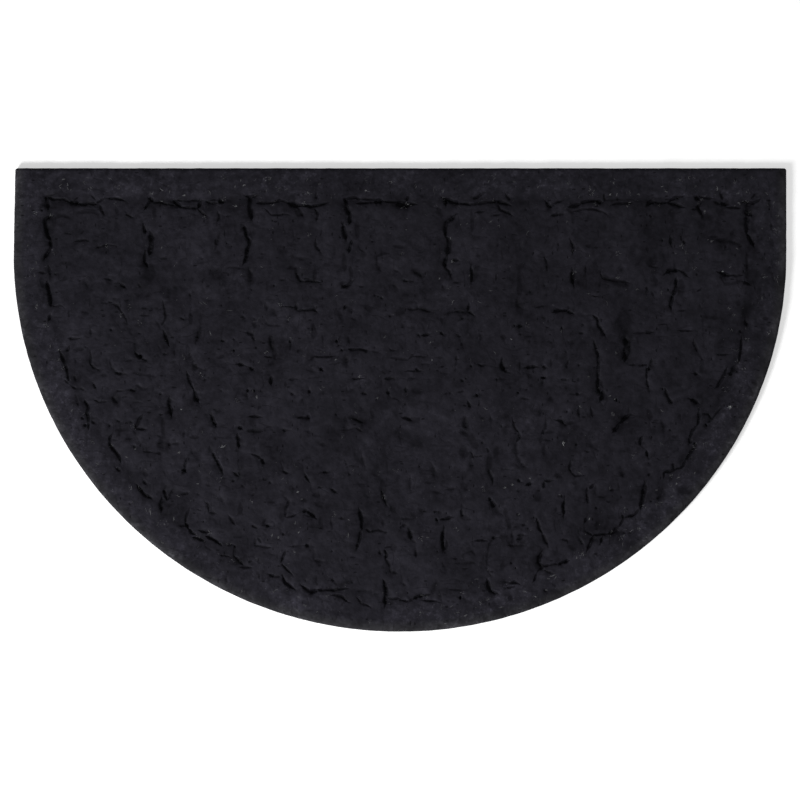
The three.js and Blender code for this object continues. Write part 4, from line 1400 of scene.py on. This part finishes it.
@dataclass
class Wiring:
    """Adds nodes to a tree and links them."""

    tree: NodeTree

    def add(self, kind: str, **settings: object) -> Node:
        """Adds a node.

        Args:
            kind: The node's type name, without "ShaderNode".
            settings: Its properties.

        Returns:
            The node.
        """
        node = self.tree.nodes.new("ShaderNode" + kind)
        for key, value in settings.items():
            setattr(node, key, value)
        return node

    def feed(self, socket: NodeSocket, value: object) -> None:
        """Links an output to an input, or sets the input's value.

        Args:
            socket: The input.
            value: Another node's output, or a plain value.
        """
        if isinstance(value, NodeSocket):
            self.tree.links.new(value, socket)
        else:
            socket.default_value = value

    def fill(self, node: Node, **values: object) -> Node:
        """Feeds a node's inputs by name.

        Args:
            node: The node.
            values: What feeds each input, with _ for a space in its name.

        Returns:
            The node.
        """
        for name, value in values.items():
            self.feed(node.inputs[name.replace("_", " ")], value)
        return node

    def result(self, node: Node, *values: object) -> NodeSocket:
        """Feeds a node's first inputs in their order.

        Args:
            node: The node.
            values: What feeds them.

        Returns:
            The node's first output.
        """
        for socket, value in zip(node.inputs, values):
            self.feed(socket, value)
        return node.outputs[0]

    def math(self, operation: str, *values: object) -> NodeSocket:
        """A Math node's result."""
        return self.result(self.add("Math", operation=operation), *values)

    def times(self, first: object, second: object) -> NodeSocket:
        """The product of two values."""
        return self.math("MULTIPLY", first, second)

    def noise(self, place: object, per_metre: object, detail: float = 2.0, harsh: float = 0.55) -> NodeSocket:
        """A Noise Texture's value, from 0 to 1."""
        node = self.add("TexNoise")
        return self.fill(node, Vector=place, Scale=per_metre, Detail=detail, Roughness=harsh).outputs["Fac"]

    def cells(self, place: object, per_metre: object, feature: str) -> Node:
        """A Voronoi Texture."""
        return self.fill(self.add("TexVoronoi", feature=feature), Vector=place, Scale=per_metre)

    def stretched(self, place: object, stretch: Triple) -> NodeSocket:
        """Places with each axis scaled, which draws a pattern out along the axes that are scaled least."""
        return self.result(self.add("VectorMath", operation="MULTIPLY"), place, stretch)

    def ramp(self, value: object, low: float, high: float, start: float, end: float) -> NodeSocket:
        """A smooth ramp from start, below low, to end, above high."""
        node = self.add("MapRange", interpolation_type="SMOOTHSTEP")
        return self.result(node, value, low, high, start, end)

    def tint(self, colour: object, factor: object) -> NodeSocket:
        """A colour times a value."""
        node = self.add("VectorMath", operation="SCALE")
        return self.fill(node, Vector=colour, Scale=factor).outputs[0]

    def mix(self, factor: object, first: object, second: object) -> NodeSocket:
        """A mix of two colours.

        Args:
            factor: 0 for the first, 1 for the second.
            first: One colour.
            second: The other.

        Returns:
            The mixed colour.
        """
        node = self.add("Mix", data_type="RGBA")
        self.feed(node.inputs[0], factor)
        for socket, colour in ((node.inputs[6], first), (node.inputs[7], second)):
            self.feed(socket, (*colour, 1.0) if isinstance(colour, tuple) else colour)
        return node.outputs[2]

    def attribute(self, name: str) -> NodeSocket:
        """A mesh attribute's value."""
        return self.add("Attribute", attribute_name=name).outputs["Fac"]

    def show(self, shader: Node, kind: str = "OutputMaterial") -> None:
        """Links a shader to the output."""
        self.feed(self.add(kind).inputs["Surface"], shader.outputs[0])

    def principled(self, colour: object, roughness: float, sheen_level: float, normal: object = None) -> None:
        """Adds a Principled BSDF with its output.

        Args:
            colour: What feeds its colour.
            roughness: Its roughness.
            sheen_level: Its specular level.
            normal: What feeds its normal, if anything does.
        """
        shader = self.add("BsdfPrincipled")
        self.fill(shader, Base_Color=colour, Roughness=roughness, Specular_IOR_Level=sheen_level)
        if normal is not None:
            self.fill(shader, Normal=normal)
        self.show(shader)

    def group(self, tree: NodeTree, **values: object) -> Node:
        """Adds a node group and feeds its inputs, whose names take _ for a space."""
        return self.fill(self.add("Group", node_tree=tree), **values)


def start_effect(name: str, takes: dict[str, float], gives: tuple[str, ...]) -> tuple[Wiring, Node, Node]:
    """Starts a node group that takes a place on the mat and some values.

    Args:
        name: Its name.
        takes: Its other inputs, with their usual values.
        gives: Its outputs.

    Returns:
        Its wiring, its input node and its output node.
    """
    tree = bpy.data.node_groups.new(name, "ShaderNodeTree")
    tree.interface.new_socket("Place", in_out="INPUT", socket_type="NodeSocketVector")
    for label, value in takes.items():
        socket = tree.interface.new_socket(label, in_out="INPUT", socket_type="NodeSocketFloat")
        socket.default_value = value
    for label in gives:
        tree.interface.new_socket(label, in_out="OUTPUT", socket_type="NodeSocketFloat")
    return Wiring(tree), tree.nodes.new("NodeGroupInput"), tree.nodes.new("NodeGroupOutput")


class Effects:
    """The node groups that the finishes share, each built once."""

    def __init__(self) -> None:
        """Builds the groups."""
        self.grain = self.pressed_grain()
        self.clouds = self.cloudy_tone()
        self.creases = self.fine_creases()
        self.scuff = self.scuffed_patches()
        self.specks = self.scattered_specks()

    @staticmethod
    def pressed_grain() -> NodeTree:
        """The fine grain of crumbs pressed together.

        Returns:
            A group that gives a height, and a shade about 1.
        """
        takes = {"Per Metre": 620.0, "Contrast": 0.2}
        wiring, source, result = start_effect("pressed grain", takes, ("Height", "Shade"))
        place = source.outputs["Place"]
        crumbs = wiring.cells(place, source.outputs["Per Metre"], "SMOOTH_F1")
        fuzz = wiring.noise(place, 1500.0, 3.0)
        lumps = wiring.noise(place, 150.0, 1.0)
        rounds = wiring.math("SUBTRACT", 1.0, crumbs.outputs["Distance"])
        height = wiring.math("MULTIPLY_ADD", fuzz, 0.12, wiring.times(rounds, 0.16))
        height = wiring.math("MULTIPLY_ADD", lumps, 1.2, height)
        spread = wiring.math("SUBTRACT", wiring.math("ADD", fuzz, lumps), 1.0)
        shade = wiring.math("MULTIPLY_ADD", spread, source.outputs["Contrast"], 1.0)
        wiring.fill(result, Height=height, Shade=shade)
        return wiring.tree

    @staticmethod
    def cloudy_tone() -> NodeTree:
        """Wide soft patches that are a little darker or paler.

        Returns:
            A group that gives a tone about 1.
        """
        wiring, source, result = start_effect("cloudy tone", {"Strength": 0.3}, ("Tone",))
        place = source.outputs["Place"]
        wide = wiring.noise(place, 22.0, 1.0)
        middle = wiring.noise(place, 75.0, 1.5)
        close = wiring.noise(place, 210.0, 1.5)
        total = wiring.math("MULTIPLY_ADD", wide, 1.3, wiring.math("ADD", middle, close))
        swing = wiring.math("SUBTRACT", total, 1.65)
        tone = wiring.math("MULTIPLY_ADD", swing, source.outputs["Strength"], 1.0)
        wiring.fill(result, Tone=tone)
        return wiring.tree

    @staticmethod
    def fine_creases() -> NodeTree:
        """Sparse shallow creases that run along the back edge or straight away from it.

        Returns:
            A group that gives a mask.
        """
        wiring, source, result = start_effect("fine creases", {"Per Metre": 90.0}, ("Mask",))
        place = source.outputs["Place"]
        masks = []
        for stretch, patches_per_metre in (((0.4, 1.0, 1.0), 76.0), ((1.0, 0.4, 1.0), 91.0)):
            lines = wiring.noise(wiring.stretched(place, stretch), source.outputs["Per Metre"], 1.0, 0.5)
            away = wiring.math("ABSOLUTE", wiring.math("SUBTRACT", lines, 0.5))
            thin = wiring.ramp(away, 0.0, 0.075, 1.0, 0.0)
            patch = wiring.ramp(wiring.noise(place, patches_per_metre, 3.0), 0.5, 0.6, 0.0, 1.0)
            masks.append(wiring.times(thin, patch))
        wiring.fill(result, Mask=wiring.math("MAXIMUM", *masks))
        return wiring.tree

    @staticmethod
    def scuffed_patches() -> NodeTree:
        """Ragged paler patches where the rubber has been rubbed.

        Returns:
            A group that gives a mask.
        """
        wiring, source, result = start_effect("scuffed patches", {"Per Metre": 95.0}, ("Mask",))
        place = source.outputs["Place"]
        spots = wiring.ramp(wiring.noise(place, source.outputs["Per Metre"], 4.0, 0.68), 0.44, 0.66, 0.0, 1.0)
        fleck = wiring.ramp(wiring.noise(place, 520.0, 2.0), 0.35, 0.7, 0.5, 1.0)
        wiring.fill(result, Mask=wiring.times(spots, fleck))
        return wiring.tree

    @staticmethod
    def scattered_specks() -> NodeTree:
        """Specks that lie scattered in loose drifts.

        Returns:
            A group that gives a mask.
        """
        takes = {"Per Metre": 300.0, "Amount": 0.12}
        wiring, source, result = start_effect("scattered specks", takes, ("Mask",))
        place = source.outputs["Place"]
        cells = wiring.cells(place, source.outputs["Per Metre"], "F1")
        split = wiring.fill(wiring.add("SeparateColor"), Color=cells.outputs["Color"])
        chosen = wiring.math("LESS_THAN", split.outputs[0], source.outputs["Amount"])
        dot = wiring.ramp(cells.outputs["Distance"], 0.08, 0.2, 1.0, 0.0)
        patchy = wiring.ramp(wiring.noise(place, 30.0, 2.0), 0.4, 0.62, 0.25, 1.0)
        strength = wiring.times(wiring.times(dot, chosen), patchy)
        wiring.fill(result, Mask=wiring.times(strength, split.outputs[1]))
        return wiring.tree


def blank_material(name: str) -> tuple[bpy.types.Material, Wiring]:
    """Makes a material without nodes.

    Args:
        name: Its name.

    Returns:
        The material and the wiring of its tree.
    """
    made = bpy.data.materials.new(name)
    made.use_nodes = True
    made.node_tree.nodes.clear()
    return made, Wiring(made.node_tree)


@dataclass(frozen=True)
class WearAndPaintedLight:
    """Painted shade and light on the upper face, and how use has rubbed it. Ramps run over a mask or over
    millimetres.

    Args:
        creases, hollows, parted, shaded: The tone in fine creases, small hollows, fissures and troughs, a
            painted shade.
        rubbed: How much is rubbed pale, over the distance from the outline.
        drifts: How that varies from stretch to stretch.
        fluff: How much the palest fluff adds to it.
        painted_edge_highlight, rim: The tone, a painted highlight on the rounded edge and painted light on
            the rim, over the distance from the flanks and the round side.
        dusty: How far the colour is the dusty one, over that distance.
    """

    creases: Ramp = (0.0, 1.0, 1.0, 0.78)
    crease_height: float = -0.25
    hollows: Ramp = (0.0, 0.25, 1.0, 0.42)
    hollow_height: float = -0.4
    hollow_shapes: tuple[Triple, ...] = ((0.6, 1.3, 1.0), (1.4, 0.65, 1.0))
    hollows_per_metre: float = 150.0
    hollow_share: float = 0.3
    parted: Ramp = (0.0, 0.95, 1.0, 0.42)
    shaded: Ramp = (0.0, 1.0, 1.0, 0.58)
    rubbed: Ramp = (30.0, 48.0, 0.82, 0.2)
    rubbed_sway: float = 16.0
    drifts: Ramp = (0.35, 0.65, 0.5, 1.4)
    fluff: float = 1.3
    painted_edge_highlight: Ramp = (4.0, 15.0, 1.55, 1.0)
    edge_sway: float = 6.0
    rim: Ramp = (24.0, 36.0, 1.09, 1.0)
    dusty: Ramp = (6.0, 16.0, 1.0, 0.0)


@dataclass(frozen=True)
class RubberFinish:
    """Black rubber of pressed crumbs.

    Args:
        name: The material's name.
        colour: Its colour, linear.
        roughness: Its roughness.
        sheen_level: How much it reflects, as the shader's specular level.
        grain_depth: How deep its grain is, in metres.
        tone: How much its wide patches vary.
        dusty_colour: Its colour where it is dusty, along the flanks and the round side.
        wear_and_painted_light: How it is worn and where painted shade and highlight lie on it, or None where
            it is plain.
        dust_colour: The colour of the specks of dust, linear.
        dust_share: The share of places that a speck takes.
    """

    name: str
    colour: Triple
    roughness: float
    sheen_level: float
    grain_depth: float
    tone: float
    dusty_colour: Triple = (0.0, 0.0, 0.0)
    wear_and_painted_light: WearAndPaintedLight | None = None
    dust_colour: Triple = (0.045, 0.045, 0.047)
    dust_share: float = 0.1

    def material(self, effects: Effects) -> bpy.types.Material:
        """The material.

        Args:
            effects: The shared node groups.

        Returns:
            A material that reads the mesh's masks where the rubber is worn and painted with shade and
            highlight.
        """
        made, wiring = blank_material(self.name)
        place = wiring.add("TexCoord").outputs["Object"]
        grain = wiring.group(effects.grain, Place=place, Per_Metre=620.0, Contrast=0.2)
        clouds = wiring.group(effects.clouds, Place=place, Strength=self.tone)
        dust = wiring.group(effects.specks, Place=place, Per_Metre=300.0, Amount=self.dust_share)
        tone = wiring.times(grain.outputs["Shade"], clouds.outputs["Tone"])
        dust_strength = dust.outputs["Mask"]
        height = grain.outputs["Height"]
        colour = self.colour
        if self.wear_and_painted_light:
            tone, height = self.add_hollows(wiring, effects, place, tone, height)
            # Painted shade in the fissures and the soft troughs.
            parted = wiring.attribute("parted")
            tone = wiring.times(tone, wiring.ramp(parted, *self.wear_and_painted_light.parted))
            tone = wiring.times(tone, wiring.ramp(wiring.attribute("shaded"), *self.wear_and_painted_light.shaded))
            tone = wiring.times(tone, wiring.math("ADD", 1.0, self.rubbed(wiring, effects, place)))
            # Painted highlight on the rounded edge and painted light on the rim, with dust there.
            tone, colour = self.add_edge_highlight_and_dust(wiring, place, tone)
            dust_strength = wiring.times(dust_strength, wiring.math("SUBTRACT", 1.0, parted))
        dusted = wiring.mix(dust_strength, wiring.tint(colour, tone), self.dust_colour)
        bump = wiring.fill(wiring.add("Bump"), Strength=1.0, Distance=self.grain_depth, Height=height)
        wiring.principled(dusted, self.roughness, self.sheen_level, bump.outputs["Normal"])
        return made

    def add_hollows(
        self, wiring: Wiring, effects: Effects, place: object, tone: object, height: object
    ) -> tuple[NodeSocket, NodeSocket]:
        """Adds the fine creases and small hollows, as bumps with painted shade in them.

        Args:
            wiring: The material's wiring.
            effects: The shared node groups.
            place: Where on the mat.
            tone: The tone so far.
            height: The height of the grain.

        Returns:
            The tone and the height with them.
        """
        wear_and_painted_light = self.wear_and_painted_light
        creases = wiring.group(effects.creases, Place=place, Per_Metre=90.0).outputs["Mask"]
        # Painted shade in the fine creases.
        tone = wiring.times(tone, wiring.ramp(creases, *wear_and_painted_light.creases))
        height = wiring.math("MULTIPLY_ADD", creases, wear_and_painted_light.crease_height, height)
        for shape in wear_and_painted_light.hollow_shapes:
            drawn_out = wiring.stretched(place, shape)
            size, share = wear_and_painted_light.hollows_per_metre, wear_and_painted_light.hollow_share
            specks = wiring.group(effects.specks, Place=drawn_out, Per_Metre=size, Amount=share)
            hollows = specks.outputs["Mask"]
            # Painted shade in the small hollows.
            tone = wiring.times(tone, wiring.ramp(hollows, *wear_and_painted_light.hollows))
            height = wiring.math("MULTIPLY_ADD", hollows, wear_and_painted_light.hollow_height, height)
        return tone, height

    def rubbed(self, wiring: Wiring, effects: Effects, place: object) -> NodeSocket:
        """Where feet and brushes have rubbed the rubber, most of all on the rim.

        Args:
            wiring: The material's wiring.
            effects: The shared node groups.
            place: Where on the mat.

        Returns:
            How much paler the rubber is.
        """
        wear_and_painted_light = self.wear_and_painted_light
        inside = wiring.attribute("inside")
        uneven = wiring.math("MULTIPLY_ADD", wiring.noise(place, 60.0), wear_and_painted_light.rubbed_sway, inside)
        scuff = wiring.group(effects.scuff, Place=place, Per_Metre=95.0).outputs["Mask"]
        fluff = wiring.group(effects.scuff, Place=place, Per_Metre=230.0).outputs["Mask"]
        rubbed = wiring.math("MULTIPLY_ADD", wiring.math("POWER", fluff, 3.0), wear_and_painted_light.fluff, scuff)
        rubbed = wiring.times(rubbed, wiring.ramp(uneven, *wear_and_painted_light.rubbed))
        return wiring.times(rubbed, wiring.ramp(wiring.noise(place, 11.0), *wear_and_painted_light.drifts))

    def add_edge_highlight_and_dust(self, wiring: Wiring, place: object, tone: object) -> tuple[NodeSocket, NodeSocket]:
        """Adds the painted highlight and the dust on the rounded edge along the flanks and the round side,
        and painted light on their rim.

        Args:
            wiring: The material's wiring.
            place: Where on the mat.
            tone: The tone so far.

        Returns:
            The tone with it, and the colour of the rubber.
        """
        wear_and_painted_light = self.wear_and_painted_light
        gap = wiring.attribute("flank_gap")
        edge = wiring.math("MULTIPLY_ADD", wiring.noise(place, 160.0), wear_and_painted_light.edge_sway, gap)
        # Painted highlight on the rounded edge.
        tone = wiring.times(tone, wiring.ramp(edge, *wear_and_painted_light.painted_edge_highlight))
        # Painted light on the rim.
        tone = wiring.times(tone, wiring.ramp(gap, *wear_and_painted_light.rim))
        return tone, wiring.mix(wiring.ramp(edge, *wear_and_painted_light.dusty), self.colour, self.dusty_colour)


@dataclass(frozen=True)
class FibreFinish:
    """Pale lint.

    Args:
        name: The material's name.
        colour: The colour of the palest fibre, linear.
        roughness: Its roughness.
        sheen_level: How much it reflects, as the shader's specular level.
    """

    name: str
    colour: Triple
    roughness: float
    sheen_level: float = 0.2

    def material(self) -> bpy.types.Material:
        """The material.

        Returns:
            A material that each fibre's own paleness shades.
        """
        made, wiring = blank_material(self.name)
        colour = wiring.tint(self.colour, wiring.attribute("paleness"))
        wiring.principled(colour, self.roughness, self.sheen_level)
        return made


# Worn face rubber, with painted shade in its fissures, troughs, creases and hollows and a painted highlight
# on its rounded edge.
FACE_RUBBER = RubberFinish(
    name="worn black rubber",
    colour=(0.0127, 0.0121, 0.0159),
    roughness=0.55,
    sheen_level=0.0175,
    grain_depth=0.0006,
    tone=0.8,
    dusty_colour=(0.0125, 0.0123, 0.0138),
    wear_and_painted_light=WearAndPaintedLight(),
)
UNDER_RUBBER = RubberFinish(
    name="plain black rubber",
    colour=(0.0105, 0.0105, 0.0122),
    roughness=0.85,
    sheen_level=0.05,
    grain_depth=0.0005,
    tone=0.2,
)
LINT = FibreFinish("pale lint", (0.3, 0.305, 0.315), 0.8)


# ---------------------------------------------------------------- studio


@dataclass(frozen=True)
class Lamp:
    """A square area lamp that points at the middle of the mat.

    Args:
        name: Its name.
        place: Where it hangs, in metres.
        side: Its side, in metres.
        power: Its power, in watts.
    """

    name: str
    place: Triple
    side: float
    power: float

    def build(self) -> None:
        """Hangs the lamp."""
        light = bpy.data.lights.new(self.name, "AREA")
        light.shape = "SQUARE"
        light.size = self.side
        light.energy = self.power
        lamp = bpy.data.objects.new(self.name, light)
        lamp.location = self.place
        lamp.rotation_euler = (-Vector(self.place)).to_track_quat("-Z", "Y").to_euler()
        bpy.context.scene.collection.objects.link(lamp)


@dataclass
class Studio:
    """A pale floor, soft light and an overhead camera."""

    frame_width: float = 0.7752
    lens: float = 100.0
    sensor: float = 36.0
    face_height: float = 0.0075
    floor_size: float = 8.0
    floor_shade: float = 0.82
    floor_lift: float = 0.46
    sky: float = 0.13
    key: Lamp = Lamp("key", (-1.12, -1.12, 0.98), 0.6, 46.0)
    fill: Lamp = Lamp("fill", (1.3, 0.5, 1.4), 1.4, 8.0)

    def build(self) -> None:
        """Builds the floor, the world, the lamps and the camera."""
        bpy.context.scene.view_settings.view_transform = "Standard"
        self.build_floor()
        self.build_world()
        self.key.build()
        self.fill.build()
        self.build_camera()

    def build_floor(self) -> None:
        """A plain floor that reads white where no shadow lies on it."""
        half = self.floor_size / 2
        mesh = bpy.data.meshes.new("floor")
        corners = [(-half, -half, 0), (half, -half, 0), (half, half, 0), (-half, half, 0)]
        mesh.from_pydata(corners, [], [(0, 1, 2, 3)])
        material, wiring = blank_material("floor")
        shade = self.floor_shade
        paint = wiring.fill(wiring.add("BsdfDiffuse"), Color=(shade, shade, shade, 1.0))
        lift = wiring.fill(wiring.add("Emission"), Strength=wiring.times(self.seen(wiring), self.floor_lift))
        both = wiring.add("AddShader")
        wiring.result(both, paint.outputs[0], lift.outputs[0])
        wiring.show(both)
        mesh.materials.append(material)
        floor = bpy.data.objects.new("floor", mesh)
        bpy.context.scene.collection.objects.link(floor)

    @staticmethod
    def seen(wiring: Wiring) -> NodeSocket:
        """Which rays see the plain backdrop.

        Args:
            wiring: Where the nodes go.

        Returns:
            1 for camera, glossy and transmission rays, and 0 for the light that matt surfaces gather.
        """
        path = wiring.add("LightPath").outputs
        shown = wiring.math("MAXIMUM", path["Is Camera Ray"], path["Is Glossy Ray"])
        return wiring.math("MAXIMUM", shown, path["Is Transmission Ray"])

    def build_world(self) -> None:
        """White all round to the camera and to reflections, and a weaker light on matt surfaces."""
        world = bpy.data.worlds.new("studio")
        bpy.context.scene.world = world
        world.use_nodes = True
        world.node_tree.nodes.clear()
        wiring = Wiring(world.node_tree)
        strength = wiring.math("MULTIPLY_ADD", self.seen(wiring), 1.0 - self.sky, self.sky)
        shine = wiring.fill(wiring.add("Background"), Color=(1.0, 1.0, 1.0, 1.0), Strength=strength)
        wiring.show(shine, "OutputWorld")

    def build_camera(self) -> None:
        """A camera straight above the middle of the mat, with the straight back edge at the top."""
        data = bpy.data.cameras.new("overhead")
        data.lens = self.lens
        data.sensor_width = self.sensor
        camera = bpy.data.objects.new("overhead", data)
        camera.location = (0.0, 0.0, self.face_height + self.frame_width * self.lens / self.sensor)
        bpy.context.scene.collection.objects.link(camera)
        bpy.context.scene.camera = camera


def main() -> None:
    """Builds the mat, dresses it, sets the studio and notes the sizes."""
    logging.basicConfig(level=logging.INFO, format="%(name)s: %(message)s")
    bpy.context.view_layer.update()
    low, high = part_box(CAD_NODE)
    outline = Outline(width=(high.x - low.x) / MM, depth=(high.y - low.y) / MM)
    marks = ALL_MARKS + Crazing(outline).marks(seed=23)
    relief = Relief(outline, marks, thickness=(high.z - low.z) / MM)
    LOG.info("%d marks in the face", len(marks))

    effects = Effects()
    rubber = [FACE_RUBBER.material(effects), UNDER_RUBBER.material(effects)]
    body = MatBody(outline, relief).shell().to_object("mat_body", rubber)
    LOG.info("mat_body: %d faces", len(body.data.polygons))
    lint = Lint(outline).shell(body).to_object("pale_fibres", [LINT.material()])
    LOG.info("pale_fibres: %d faces", len(lint.data.polygons))

    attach(body, BODY)
    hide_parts(CAD_NODE)
    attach(lint, BODY)

    Studio().build()


if __name__ == "__main__":
    main()
